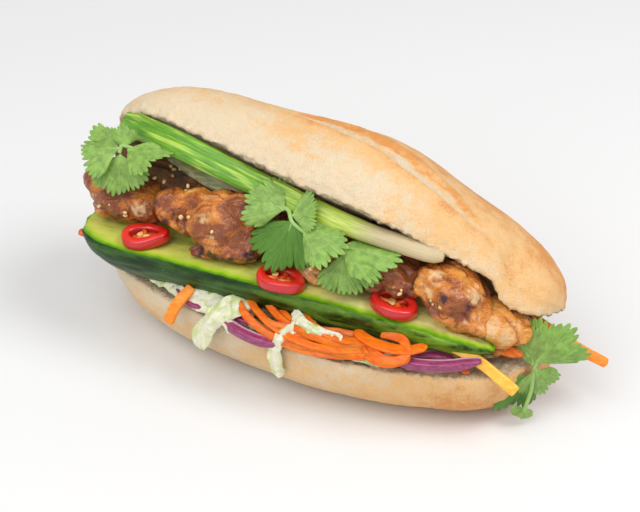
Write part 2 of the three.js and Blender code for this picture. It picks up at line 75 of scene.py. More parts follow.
# Cross-sections of the roll's lower half: place, middle line, cut edge, underside, half width.
BASE = np.array([
    (-0.99, 8, 26, 18, 1), (-0.92, 6, 28, 10, 14), (-0.75, 3, 30, 3, 26), (-0.4, -1, 31, -1, 36),
    (0.15, -4, 30, -2, 41), (0.6, -4, 30, -1, 36), (0.88, -3, 29, 4, 24), (1.0, 0, 24, 16, 1),
])
# Cross-sections of its upper half: place, middle y and z, degrees it leans back, half width, crown, and how
# far its front lip hangs down.
LID = np.array([
    (-1.0, 20, 70, 56, 1, 1, 0), (-0.93, 18, 70, 55, 15, 13, -2), (-0.78, 17, 68.7, 54, 24, 22, -4.5),
    (-0.6, 15.6, 66.7, 52.5, 31, 29, -3), (0.0, 10, 59.5, 41.5, 37, 36, -4.5), (0.25, 9, 57, 38, 37, 37, -5),
    (0.53, 8, 53.5, 35, 33, 29, -1.5), (0.77, 6.7, 48.5, 28, 24, 23, -2),
    (0.82, 6.3, 46.8, 26.4, 25.3, 21.4, 5.5), (0.93, 5.5, 43.3, 22.2, 20.7, 17.2, 3),
    (1.0, 5.5, 41, 20.8, 12.5, 11, 0), (1.03, 5.5, 40, 20, 1, 1, -2),
])
BASE_ROUNDNESS = 2.5
LID_ROUNDNESS = 2.2
CUT_DIP = 2.0
HINGE = {"from": -0.8, "to": 0.84, "thickness": 9.0, "inset": 8.0, "overlap": 5.0}
# The score along the crust: place, and degrees round the crust from the front lip to the raised flap.
SCORE = np.array([
    (-0.3, 58), (-0.1, 50), (0.0, 49), (0.16, 43.5), (0.34, 41), (0.55, 39.5), (0.7, 34), (0.86, 28),
    (1.0, 28),
])
# How many degrees wide its torn band is along it.
SCORE_WIDTH = np.array([
    (-0.3, 6), (-0.1, 14), (0.0, 24), (0.2, 17), (0.43, 17), (0.55, 14), (0.68, 8), (0.8, 2), (1.0, 2),
])

# Halved cucumber: place in mm, middle y and z of the cut face, radius.
CUCUMBER = np.array([
    (-97, -14, 49.5, 3), (-94, -15, 49.5, 12), (-80, -16, 49.5, 18), (-50, -16, 49.5, 19.5),
    (10, -17, 49, 20), (45, -18, 46, 17), (72, -22, 42, 10), (84, -27, 40.5, 2),
])
CUCUMBER_TILT = 3.0
TO_FRONT = (0, -0.75, 0.66)  # which way the flat of a shred looks, unless it says otherwise


# ---------------------------------------------------------------- numbers and shapes

def smooth(table, at):
    """Catmull-Rom values of a table's columns at the places `at`; its first column is the place."""
    keys, values = table[:, 0], table[:, 1:]
    at = np.clip(at, keys[0], keys[-1])
    row = np.clip(np.searchsorted(keys, at, side="right") - 1, 0, len(keys) - 2)
    before, after = np.maximum(row - 1, 0), np.minimum(row + 2, len(keys) - 1)
    span = (keys[row + 1] - keys[row])[..., None]
    t = (at - keys[row])[..., None] / span
    slope_from = (values[row + 1] - values[before]) / (keys[row + 1] - keys[before])[..., None] * span
    slope_to = (values[after] - values[row]) / (keys[after] - keys[row])[..., None] * span
    return ((2 * t**3 - 3 * t**2 + 1) * values[row] + (t**3 - 2 * t**2 + t) * slope_from
            + (3 * t**2 - 2 * t**3) * values[row + 1] + (t**3 - t**2) * slope_to)


def squared(value, roundness):
    """A squared-off cosine or sine: sign(v) |v| ^ (2 / roundness)."""
    return np.sign(value) * np.abs(value) ** (2 / roundness)


def step(value, low, high):
    """0 below `low`, 1 above `high`, and 3t^2 - 2t^3 between."""
    t = np.clip((value - low) / (high - low), 0, 1)
    return t * t * (3 - 2 * t)


def gradient_table(seed=5):
    """A shuffled row of 0 to 255, and 256 random directions."""
    rng = np.random.default_rng(seed)
    slopes = rng.normal(size=(256, 3))
    return rng.permutation(256), slopes / np.linalg.norm(slopes, axis=1, keepdims=True)


SHUFFLE, SLOPES = gradient_table()


def noise(points, size, seed=0):
    """Gradient noise, about -1 to 1: random slopes at the corners of cubes of `size`, blended by
    6t^5 - 15t^4 + 10t^3."""
    place = points / size + seed * 11.37
    cell = np.floor(place).astype(np.int64)
    part = place - cell
    fade = part**3 * (part * (part * 6 - 15) + 10)
    total = np.zeros(len(points))
    for corner in np.ndindex(2, 2, 2):
        x, y, z = ((cell + corner) & 255).T
        slope = SLOPES[SHUFFLE[(SHUFFLE[(SHUFFLE[x] + y) & 255] + z) & 255]]
        weight = np.where(corner, fade, 1 - fade).prod(axis=1)
        total += weight * (slope * (part - corner)).sum(axis=1)
    return total * 1.7


def layered(points, size, octaves=3, seed=0):
    """Noise with half-sized, half-strength layers added."""
    return sum(noise(points, size / 2**k, seed + k) / 2**k for k in range(octaves))


def summed(points, rows):
    """Gradient noises added up, each with its strength, size and seed."""
    return sum(strength * noise(points, size, seed) for strength, size, seed in rows)


def creases(points, size, seed=0, sharpness=6):
    """Thin lines, 0 to 1, where gradient noise crosses zero: (1 - |noise|) ^ sharpness."""
    return np.clip(1 - np.abs(noise(points, size, seed)), 0, 1) ** sharpness


def unit(vectors):
    """Vectors made one long."""
    return vectors / np.maximum(np.linalg.norm(vectors, axis=-1, keepdims=True), 1e-9)


def skin(rings):
    """A closed surface over rings of points, shape (rings, corners, 3), with a fan over each end."""
    count, corners = rings.shape[:2]
    index = np.arange(count * corners).reshape(count, corners)
    ahead = np.roll(index, -1, axis=1)
    quads = np.stack([index[:-1], ahead[:-1], ahead[1:], index[1:]], axis=-1).reshape(-1, 4)
    points = np.concatenate([rings.reshape(-1, 3), rings[0].mean(0)[None], rings[-1].mean(0)[None]])
    first, last = count * corners, count * corners + 1
    fans = np.concatenate([
        np.stack([np.full(corners, first), ahead[0], index[0]], axis=-1),
        np.stack([np.full(corners, last), index[-1], ahead[-1]], axis=-1),
    ])
    faces = quads.tolist() + fans.tolist()
    corner = points[fans[:, 0]], points[fans[:, 1]], points[fans[:, 2]]
    a, b, c, d = (points[quads[:, k]] for k in range(4))
    volume = (np.cross(b, c) * a).sum() + (np.cross(c, d) * a).sum()
    volume += (np.cross(corner[1], corner[2]) * corner[0]).sum()
    return points, faces if volume > 0 else [face[::-1] for face in faces]


def sheet_faces(rows, columns):
    """The faces of an open sheet whose points are in rows."""
    index = np.arange(rows * columns).reshape(rows, columns)
    corners = index[:-1, :-1], index[1:, :-1], index[1:, 1:], index[:-1, 1:]
    return np.stack(corners, axis=-1).reshape(-1, 4).tolist()


def gather(parts):
    """Several surfaces as one: their points in a row, and their faces renumbered."""
    points, faces, start = [], [], 0
    for part_points, part_faces in parts:
        points.append(part_points)
        faces.extend([[i + start for i in face] for face in part_faces])
        start += len(part_points)
    return np.concatenate(points), faces


def gather_marked(parts, *names):
    """Several surfaces as one, and under these names what each carries for its points after its faces."""
    points, faces = gather([part[:2] for part in parts])
    marks = {name: np.concatenate([part[2 + k] for part in parts]) for k, name in enumerate(names)}
    return points, faces, marks


def new_mesh(name, points, faces):
    """A mesh in metres from points in millimetres."""
    mesh = bpy.data.meshes.new(name)
    mesh.from_pydata((points * MM).tolist(), [], faces)
    mesh.update()
    return mesh


def merged(parts, voxel):
    """Several closed surfaces joined into one even quad surface, by a voxel remesh at `voxel` mm."""
    holder = bpy.data.objects.new("merged", new_mesh("merged", *gather(parts)))
    bpy.context.scene.collection.objects.link(holder)
    remesh = holder.modifiers.new("Join", "REMESH")
    remesh.mode = "VOXEL"
    remesh.voxel_size = voxel * MM
    mesh = holder.evaluated_get(bpy.context.evaluated_depsgraph_get()).to_mesh()
    points = np.empty(len(mesh.vertices) * 3, np.float32)
    mesh.vertices.foreach_get("co", points)
    corners = np.empty(len(mesh.loops), np.int32)
    mesh.loops.foreach_get("vertex_index", corners)
    source = holder.data
    bpy.data.objects.remove(holder)
    bpy.data.meshes.remove(source)
    return points.reshape(-1, 3).astype(float) / MM, corners.reshape(-1, 4).astype(int)


def spread(count, quads, values):
    """The sum at each point of what its faces' corners carry."""
    return np.stack([np.bincount(quads.ravel(), values[..., k].ravel(), count) for k in range(3)], axis=-1)


def relaxed(points, quads, times, amount=0.5):
    """Each point moved towards the middle of its neighbours along the faces' edges, `times` over."""
    neighbours = np.roll(quads, -1, axis=1)
    others = np.roll(quads, 1, axis=1)
    links = np.bincount(quads.ravel(), minlength=len(points))[:, None] * 2
    for _ in range(times):
        total = spread(len(points), quads, points[neighbours] + points[others])
        points = points + amount * (total / links - points)
    return points


def facing(points, quads):
    """Each point's outward direction: the sum of its faces' normals, made one long."""
    a, b, c, d = (points[quads[:, k]] for k in range(4))
    normal = np.cross(c - a, d - b)
    return unit(spread(len(points), quads, np.repeat(normal[:, None], 4, axis=1)))


def frames(path, up=TO_FRONT):
    """Along a path of points: the way ahead, to the side, and out of its face, which looks towards `up`."""
    ahead = unit(np.gradient(path, axis=0))
    look = np.broadcast_to(np.asarray(up, float), path.shape)
    face = unit(look - (look * ahead).sum(-1, keepdims=True) * ahead)
    return ahead, np.cross(ahead, face), face


def curve(route, count):
    """A smooth path through a few points, evenly spaced along its length."""
    route = np.asarray(route, float)
    keys = np.concatenate([[0], np.cumsum(np.linalg.norm(np.diff(route, axis=0), axis=1))])
    fine = smooth(np.column_stack([keys, route]), np.linspace(0, keys[-1], count * 6))
    length = np.concatenate([[0], np.cumsum(np.linalg.norm(np.diff(fine, axis=0), axis=1))])
    even = np.linspace(0, length[-1], count)
    return np.stack([np.interp(even, length, fine[:, k]) for k in range(3)], axis=-1)


def swept(path, across, through, roundness=4.0, corners=16, up=TO_FRONT, turn=0.0, ribs=0.0, rib_count=0):
    """A squared-off ellipse carried along a path: half sizes `across` and `through` may change along it, and
    `turn` twists it. Ribs are waves round the section."""
    _, side, face = frames(path, up)
    turn = np.broadcast_to(np.asarray(turn, float), len(path))[:, None]
    side, face = side * np.cos(turn) + face * np.sin(turn), face * np.cos(turn) - side * np.sin(turn)
    angle = np.linspace(0, 2 * math.pi, corners, endpoint=False)
    wave = 1 + ribs * np.cos(rib_count * angle)
    wide = np.broadcast_to(across, len(path))[:, None, None]
    deep = np.broadcast_to(through, len(path))[:, None, None]
    rings = (path[:, None] + wide * side[:, None] * (squared(np.cos(angle), roundness) * wave)[None, :, None]
             + deep * face[:, None] * (squared(np.sin(angle), roundness) * wave)[None, :, None])
    return skin(rings)


def turned(vectors, degrees):
    """Vectors turned about Z, then Y, then X by the given degrees."""
    for axis in (2, 1, 0):
        angle = math.radians(degrees[axis])
        a, b = (axis + 1) % 3, (axis + 2) % 3
        result = vectors.copy()
        result[..., a] = vectors[..., a] * np.cos(angle) - vectors[..., b] * np.sin(angle)
        result[..., b] = vectors[..., a] * np.sin(angle) + vectors[..., b] * np.cos(angle)
        vectors = result
    return vectors


def ball(rows=24, columns=36):
    """Directions over a sphere: rings of latitude from pole to pole."""
    high = np.linspace(0.02, math.pi - 0.02, rows)[:, None]
    round_ = np.linspace(0, 2 * math.pi, columns, endpoint=False)[None]
    return np.stack([np.sin(high) * np.cos(round_), np.sin(high) * np.sin(round_),
                     np.cos(high) + 0 * round_], axis=-1)


def lump(at, size, turn=(0, 0, 0), rows=24, columns=36):
    """A sphere of directions stretched to half sizes, turned and placed."""
    return skin(turned(ball(rows, columns) * np.asarray(size, float), turn) + np.asarray(at, float))


# ---------------------------------------------------------------- objects and materials

def place(name, points, faces, look, slot, replaces=(), attributes=None):
    """Puts a surface in the scene as a piece that rides on the sandwich and stands for CAD nodes."""
    mesh = new_mesh(name, points, faces)
    piece = bpy.data.objects.new(name, mesh)
    bpy.context.scene.collection.objects.link(piece)
    mesh.materials.append(look)
    mesh.polygons.foreach_set("use_smooth", np.full(len(mesh.polygons), True))
    for key, values in (attributes or {}).items():
        mesh.attributes.new(key, "FLOAT", "POINT").data.foreach_set("value", values.astype(np.float32))
    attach(piece, BODY)
    if replaces:
        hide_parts(*replaces)
    return piece


def thicken(piece, thickness):
    """Gives an open sheet a thickness in mm, half of it on each side."""
    body = piece.modifiers.new("Thickness", "SOLIDIFY")
    body.thickness = thickness * MM
    body.offset = 0


class Value:
    """A socket that takes part in arithmetic: each operation adds a Math node to its material."""

    def __init__(self, look, socket):
        self.look = look
        self.socket = socket

    def math(self, operation, first, second=0.0, limit=False):
        settings = {"operation": operation, "use_clamp": limit}
        return self.look.node("ShaderNodeMath", settings, {0: first, 1: second})

    def __add__(self, other):
        return self.math("ADD", self, other)

    def __radd__(self, other):
        return self.math("ADD", other, self)

    def __sub__(self, other):
        return self.math("SUBTRACT", self, other)

    def __rsub__(self, other):
        return self.math("SUBTRACT", other, self)

    def __mul__(self, other):
        return self.math("MULTIPLY", self, other)

    def __rmul__(self, other):
        return self.math("MULTIPLY", other, self)

    def limited(self):
        """Kept between 0 and 1."""
        return self.math("ADD", self, 0.0, limit=True)

    def step(self, low, high):
        """0 below `low`, 1 above `high`, smooth between."""
        inputs = {"Value": self, "From Min": low, "From Max": high}
        return self.look.node("ShaderNodeMapRange", {"interpolation_type": "SMOOTHSTEP"}, inputs)


class Look:
    """A material while it is put together. Every node comes from its method `node`."""

    def __init__(self, name, **constants):
        self.material = bpy.data.materials.new(name)
        self.material.use_nodes = True
        self.tree = self.material.node_tree
        self.shader = self.tree.nodes["Principled BSDF"]
        for key, value in constants.items():
            self.feed(self.shader.inputs[key.replace("_", " ")], value)

    def feed(self, socket, value):
        if isinstance(value, Value):
            self.tree.links.new(value.socket, socket)
        elif socket.type == "RGBA" and len(value) == 3:
            socket.default_value = (*value, 1.0)
        else:
            socket.default_value = value

    def node(self, kind, settings, inputs, output=0):
        node = self.tree.nodes.new(kind)
        for key, value in settings.items():
            setattr(node, key, value)
        for key, value in inputs.items():
            self.feed(node.inputs[key], value)
        return Value(self, node.outputs[output])

    def attribute(self, name):
        return self.node("ShaderNodeAttribute", {"attribute_name": name}, {}, output="Fac")

    def coordinates(self, stretch=(1, 1, 1)):
        where = self.node("ShaderNodeTexCoord", {}, {}, output="Object")
        return self.node("ShaderNodeMapping", {}, {"Vector": where, "Scale": stretch})

    def grain(self, size, detail=2.0, roughness=0.5, stretch=(1, 1, 1)):
        """Noise, 0 to 1, whose features are about `size` mm."""
        inputs = {"Vector": self.coordinates(stretch), "Scale": 1 / (size * MM)}
        return self.node("ShaderNodeTexNoise", {}, inputs | {"Detail": detail, "Roughness": roughness})

    def cells(self, size):
        """Distance to the nearest of scattered dots about `size` mm apart, in parts of that size."""
        inputs = {"Vector": self.coordinates(), "Scale": 1 / (size * MM)}
        return self.node("ShaderNodeTexVoronoi", {}, inputs, output="Distance")

    def mix(self, factor, first, second):
        return self.node("ShaderNodeMix", {"data_type": "RGBA"}, {0: factor, 6: first, 7: second}, output=2)

    def bump(self, height, depth, strength=1.0):
        inputs = {"Height": height, "Distance": depth * MM, "Strength": strength}
        return self.node("ShaderNodeBump", {}, inputs)

    def done(self, color, roughness, normal=None):
        self.feed(self.shader.inputs["Base Color"], color)
        self.feed(self.shader.inputs["Roughness"], roughness)
        if normal is not None:
            self.feed(self.shader.inputs["Normal"], normal)
        return self.material


def color_setting(name, description, default):
    return FloatVectorProperty(name=name, description=description, default=default, subtype="COLOR", size=3,
                               min=0, max=1)


def size_setting(name, description, default):
    """A length, given in mm."""
    return FloatProperty(name=name, description=description, default=default * MM, unit="LENGTH",
                         precision=4)


# ---------------------------------------------------------------- bread

class BreadSettings(bpy.types.PropertyGroup):
    voxel: size_setting("Mesh size", "Edge length of the bread's faces", 1.15)
    waviness: size_setting("Waviness", "Height of the slow swells of the crust", 0.9)
    flap: size_setting("Flap", "How far the scored flap stands up", 1.5)
    pale: color_setting("Pale crust", "Colour of the crust near the lips", (0.82, 0.665, 0.455))
    golden: color_setting("Golden crust", "Colour of most of the crust", (0.87, 0.535, 0.235))
    brown: color_setting("Brown crust", "Colour of the highest ridges", (0.76, 0.31, 0.075))
    crumb: color_setting("Crumb", "Colour of the cut faces", (0.86, 0.72, 0.50))


def places_along(table, rows):
    """Places from a table's first to its last, closer together towards both ends: middle - reach cos t."""
    return table[0, 0] + (table[-1, 0] - table[0, 0]) * (1 - np.cos(np.linspace(0, math.pi, rows))) / 2


def cut_dip(half, across):
    """How far a cut face is dished: CUT_DIP (1 - across^2), less where the roll is narrow."""
    return CUT_DIP * np.minimum(half / 20, 1) * (1 - across**2)


def base_rings(rows, sides):
    """Lower half. Outside: y = middle - half C(t), z = edge - deep S(t), never under the table, with C and S
    the squared-off cosine and sine. Cut face: straight across, dished."""
    at = places_along(BASE, rows)
    y, rim, low, half = (column[:, None] for column in smooth(BASE, at).T)
    angle = np.linspace(0, math.pi, sides)[None]
    across = -squared(np.cos(angle), BASE_ROUNDNESS)
    crust = np.stack([at[:, None] * ROLL + 0 * angle, y + half * across,
                      np.maximum(rim - (rim - low) * squared(np.sin(angle), BASE_ROUNDNESS), 0)], axis=-1)
    back = np.linspace(1, -1, sides // 2)[None, 1:-1]
    cut = np.stack([at[:, None] * ROLL + 0 * back, y + half * back, rim - cut_dip(half, back)], axis=-1)
    return np.concatenate([crust, cut], axis=1)


def lid_frame(at):
    """Of the upper half at a place: middle of its cut face, the way to its front lip, the way out, half
    width, crown and drop."""
    y, z, lean, half, crown, drop = smooth(LID, at).T
    lean = np.radians(lean)
    none = np.zeros_like(lean)
    middle = np.stack([at * ROLL, y, z], axis=-1)
    forward = np.stack([none, -np.cos(lean), np.sin(lean)], axis=-1)
    out = np.stack([none, np.sin(lean), np.cos(lean)], axis=-1)
    return middle, forward, out, half, crown, drop


def lid_rings(rows, sides):
    """Upper half: middle + half C(t) forward + crown S(t) out, closed by its dished cut face. Its front is
    let down by drop times the square of how far forward it is."""
    at = places_along(LID, rows)
    middle, forward, out, half, crown, drop = (value[:, None] for value in lid_frame(at))
    angle = np.linspace(0, math.pi, sides)[None]
    across = squared(np.cos(angle), LID_ROUNDNESS)
    crust = (middle + forward * (half * across)[..., None]
             + out * (crown * squared(np.sin(angle), LID_ROUNDNESS))[..., None])
    crust[..., 2] -= drop * np.maximum(across, 0) ** 2
    back = np.linspace(-1, 1, sides // 2)[None, 1:-1]
    cut = middle + forward * (half * back)[..., None] + out * cut_dip(half, back)[..., None]
    cut[..., 2] -= drop * np.maximum(back, 0) ** 2
    return np.concatenate([crust, cut], axis=1)


def hinge_rings(rows, sides):
    """Uncut bread at the back: an ellipse from the lower half's back edge to the upper half's, thinning at
    its ends."""
    at = np.linspace(HINGE["from"], HINGE["to"], rows)
    reach = (HINGE["to"] - HINGE["from"]) / 2
    ending = np.sqrt(np.maximum((at - HINGE["from"]) * (HINGE["to"] - at) / reach**2, 0.02))[:, None, None]
    y, rim, _, wide = smooth(BASE, at).T
    middle, forward, _, half, _, _ = lid_frame(at)
    lower = np.stack([at * ROLL, y + wide - HINGE["inset"], rim - HINGE["overlap"]], axis=-1)
    upper = middle - forward * (half - HINGE["inset"])[:, None] + np.array([0, 0, HINGE["overlap"]])
    tall = unit(upper - lower)
    length = np.linalg.norm(upper - lower, axis=-1)[:, None, None] / 2 + HINGE["overlap"]
    through = np.stack([0 * at, tall[:, 2], -tall[:, 1]], axis=-1)
    angle = np.linspace(0, 2 * math.pi, sides, endpoint=False)[None, :, None]
    return ((lower + upper)[:, None] / 2 + tall[:, None] * length * ending * np.cos(angle)
            + through[:, None] * HINGE["thickness"] * ending * np.sin(angle))


def lid_places(points):
    """Where points lie on the upper half: place along it, degrees round from the front lip, how far forward,
    and height from the cut."""
    at = points[:, 0] / ROLL
    middle, forward, out, half, crown, drop = lid_frame(at)
    ahead = np.clip(((points - middle) * forward).sum(-1) / np.maximum(half, 4), 0, 1)
    raised = points + np.array([0, 0, 1.0]) * (drop * ahead**2)[:, None]
    across = ((raised - middle) * forward).sum(-1) / np.maximum(half, 4)
    height = ((raised - middle) * out).sum(-1) / np.maximum(crown, 4)
    rise, run = (np.sign(value) * np.abs(value) ** (LID_ROUNDNESS / 2) for value in (height, across))
    return at, np.degrees(np.arctan2(rise, run)), across, height


def cut_faces(points, normal, places):
    """1 on the cut faces of both halves and 0 on the crust, by which way a point looks and where it lies."""
    at, _, across, height = places
    y, rim, _, wide = smooth(BASE, at).T
    lid_cut = step(-(normal * lid_frame(at)[2]).sum(-1), 0.45, 0.8) * step(points[:, 2], 33, 36)
    lid_cut *= (np.abs(across) < 1.05) & (height < 0.3)
    base_cut = step(normal[:, 2], 0.5, 0.85) * step(-np.abs(points[:, 2] - rim), -5, -3)
    base_cut *= np.abs(points[:, 1] - y) < wide
    return np.clip(lid_cut + base_cut, 0, 1)


def score_marks(points, at, round_, on_lid):
    """The score, by degrees from its line: the raised flap, its torn band, the floury part of that, and the
    far edge of the band."""
    wander = 2.4 * noise(points, 9, 31)
    offset = round_ - smooth(SCORE, at)[:, 0] + wander * 0.5
    wide = smooth(SCORE_WIDTH, at)[:, 0]
    flap = np.exp(-((offset + 2.5) / 3.4) ** 2) * on_lid
    flap *= step(at, -0.32, -0.05) * (1 - 0.6 * step(at, 0.62, 0.95))
    torn = step(at, -0.24, -0.04) * (1 - step(at, 0.62, 0.74)) * on_lid
    band = step(offset, -1.0, 1.5) * (1 - step(offset + wander, wide - 3, wide + 3)) * torn
    floury = step(offset, -1.0, 1.0) * (1 - step(offset + 1.6 * wander, 0.6 * wide, 0.6 * wide + 4)) * torn
    far_edge = np.exp(-((offset + wander - wide - 2) / 4.0) ** 2) * torn
    return flap, band, floury, far_edge


def bread_surface(settings):
    """The joined halves, relaxed, then moved out and in by swells, the score, the crumb and torn edges."""
    rows, sides = 150, 90
    parts = [skin(base_rings(rows, sides)), skin(lid_rings(rows, sides)), skin(hinge_rings(90, 30))]
    points, quads = merged(parts, settings.voxel / MM)
    points = relaxed(points, quads, 5)
    normal = facing(points, quads)
    at, round_, across, height = places = lid_places(points)
    on_lid = step(height, -0.10, 0.02) * (points[:, 2] > 30)
    y, rim = smooth(BASE, at).T[:2]
    crumb = cut_faces(points, normal, places)
    flap, band, floury, far_edge = score_marks(points, at, round_, on_lid)

    swell = settings.waviness / MM * summed(points, ((0.8, 38, 2), (0.45, 17, 3), (0.2, 8, 4)))
    grain = 0.10 * layered(points, 2.6, 2, 7) + 0.10 * layered(points * (0.35, 1, 1), 1.8, 2, 51)
    fibres = 0.6 * layered(points * (0.25, 1, 1), 2.6, 3, 9) - 1.0 * creases(points * (0.3, 1, 1), 4.5, 12)
    crust_move = swell + grain + settings.flap / MM * flap - 0.9 * band + 0.8 * far_edge
    crust_move += floury * fibres + (band - floury) * 0.9 * layered(points * (0.6, 1, 1), 5.0, 3, 10)
    crumb_move = 0.55 * layered(points, 4.5, 3, 14) - 0.5 * creases(points, 3.4, 17, 4)
    edge = np.exp(-((np.abs(across) - 0.97) / 0.05) ** 2) * step(0.3 - height, 0, 0.2) * (points[:, 2] > 34)
    edge = np.clip(edge + np.exp(-((points[:, 2] - rim) / 2.2) ** 2) * (points[:, 1] < y), 0, 1)
    tear = edge * (0.8 * layered(points, 3.6, 3, 21) + 0.5 * noise(points, 1.6, 23))
    off_table = step(points[:, 2], 0.3, 2.5)
    move = np.where(crumb > 0.5, crumb_move, crust_move) + tear
    points = points + normal * (move * off_table)[:, None]
    points[:, 2] = np.maximum(points[:, 2], 0)

    lip = np.exp(-(1 - np.abs(across)).clip(0) / 0.16) * step(0.75 - height, 0, 0.6) * on_lid
    lip = np.clip(lip + np.exp(-np.abs(points[:, 2] - rim) / 6) * (1 - on_lid), 0, 1)
    bake = 0.43 + 0.42 * on_lid * step(round_, 30, 110) - 0.34 * lip
    bake += 0.35 * (1 - on_lid) * step(at, 0.0, 0.9)
    bake += summed(points, ((0.22, 26, 41), (0.16, 9, 42)))
    bake += 0.22 * flap + 0.30 * far_edge + 0.28 * (band - floury) - 0.2 * floury + 0.12 * step(at, 0.2, 0.9)
    bake -= 0.18 * (1 - step(at, -0.6, 0.2)) * (1 - step(round_, 20, 80))
    return points, quads, {"crumb": crumb, "score": floury, "bake": np.clip(bake, 0, 1)}


def bread_look(settings):
    flour, pore, deep_crumb = (0.76, 0.66, 0.52), (0.50, 0.30, 0.14), (0.62, 0.42, 0.24)
    look = Look("bread crust", Specular_IOR_Level=0.35, Subsurface_Weight=0.12, Subsurface_Scale=0.004,
                Subsurface_Radius=(1.0, 0.6, 0.35))
    bake, crumb, score = (look.attribute(name) for name in ("bake", "crumb", "score"))
    mottle = look.grain(5.0, 4.0, 0.6)
    fine = look.grain(0.9, 3.0, 0.65)
    grit = look.grain(0.45, 2.0, 0.7)
    baked = (bake + (mottle - 0.5) * 0.85 + (fine - 0.5) * 0.65 + (grit - 0.5) * 0.40).limited()
    color = look.mix(baked.step(0.05, 0.55), tuple(settings.pale), tuple(settings.golden))
    color = look.mix(baked.step(0.55, 1.05), color, tuple(settings.brown))
    floury = score * look.grain(2.2, 4.0, 0.7).step(0.38, 0.62)
    color = look.mix(floury * 0.7, color, flour)
    pores = look.cells(1.5).step(0.05, 0.24)
    color = look.mix((1 - pores) * 0.15, color, pore)
    inside = look.mix(look.grain(2.0, 4.0, 0.7).step(0.30, 0.68), deep_crumb, tuple(settings.crumb))
    color = look.mix(crumb, color, inside)
    height = grit * 0.5 + fine * 0.8 + mottle * 0.6 + pores * 0.25 + crumb * look.grain(1.2, 4.0, 0.75) * 3.0
    roughness = 0.62 + crumb * 0.25 + score * 0.12 + (fine - 0.5) * 0.15
    return look.done(color, roughness, look.bump(height, 0.7, 1.0))


class BANHMI_OT_bread(bpy.types.Operator):
    """Bread roll: both halves and the hinge as one crust with a score, torn lips and open crumb"""

    bl_idname = "banhmi.bread"
    bl_label = "Bread roll"

    def execute(self, context):
        settings = context.scene.banhmi_bread
        points, quads, marks = bread_surface(settings)
        place("bread", points, quads.tolist(), bread_look(settings), "bread", ["bread_roll"], marks)
        return {"FINISHED"}


# ---------------------------------------------------------------- fillings: settings

class FillingSettings(bpy.types.PropertyGroup):
    skin: color_setting("Cucumber skin", "Darkest green of its skin", (0.004, 0.026, 0.002))
    streak: color_setting("Cucumber streak", "Lighter green streaks of its skin", (0.050, 0.150, 0.018))
    # Cucumber flesh is the colour at the cut face's left end, where it carries painted shade from the
    # chicken.
    flesh: color_setting("Cucumber flesh", "Pale green of the cut face", (0.62, 0.66, 0.12))
    glaze: color_setting("Chicken glaze", "Caramel colour of the glazed meat", (0.58, 0.160, 0.008))
    meat: color_setting("Chicken meat", "Lighter colour where the glaze is thin", (0.78, 0.315, 0.045))
    char: color_setting("Chicken char", "Colour of the burnt rims", (0.035, 0.006, 0.004))
    fat: color_setting("Chicken fat", "Colour of pale, fatty places", (0.80, 0.55, 0.28))
    leaf: color_setting("Coriander", "Green of the leaves", (0.216, 0.361, 0.071))
    onion_green: color_setting("Spring onion", "Green of its leaf", (0.17, 0.40, 0.02))
    red: color_setting("Chilli", "Red of its skin", (0.56, 0.004, 0.012))
    orange: color_setting("Carrot", "Orange of the shreds", (0.77, 0.108, 0.002))
    lettuce: color_setting("Lettuce", "Pale green of the shreds", (0.74, 0.78, 0.46))
    purple: color_setting("Red onion", "Purple of its outer edge", (0.21, 0.015, 0.085))
    meat_voxel: size_setting("Meat mesh size", "Edge length of the chicken's faces", 0.5)
    cucumber_voxel: size_setting("Cucumber mesh size", "Edge length of the cucumber's faces", 0.75)


# ---------------------------------------------------------------- cucumber

def cucumber_frame(at):
    """Middle of the cut face, the way to its front edge, the way down, and the radius."""
    y, z, radius = smooth(CUCUMBER, at).T
    lean = math.radians(CUCUMBER_TILT)
    forward = np.array([0, -math.cos(lean), math.sin(lean)])
    down = np.array([0, -math.sin(lean), -math.cos(lean)])
    return np.stack([at, y, z], axis=-1), forward, down, radius


def cucumber_rings(rows, sides):
    """Half a cucumber: middle + radius (cos a forward + sin a down) for its skin, then straight across."""
    middle, forward, down, radius = cucumber_frame(places_along(CUCUMBER, rows))
    angle = np.linspace(0, math.pi, sides)
    across = np.concatenate([np.cos(angle), np.linspace(-1, 1, sides // 2)[1:-1]])
    deep = np.concatenate([np.sin(angle), np.zeros(sides // 2 - 2)])
    return middle[:, None] + radius[:, None, None] * (across[:, None] * forward + deep[:, None] * down)


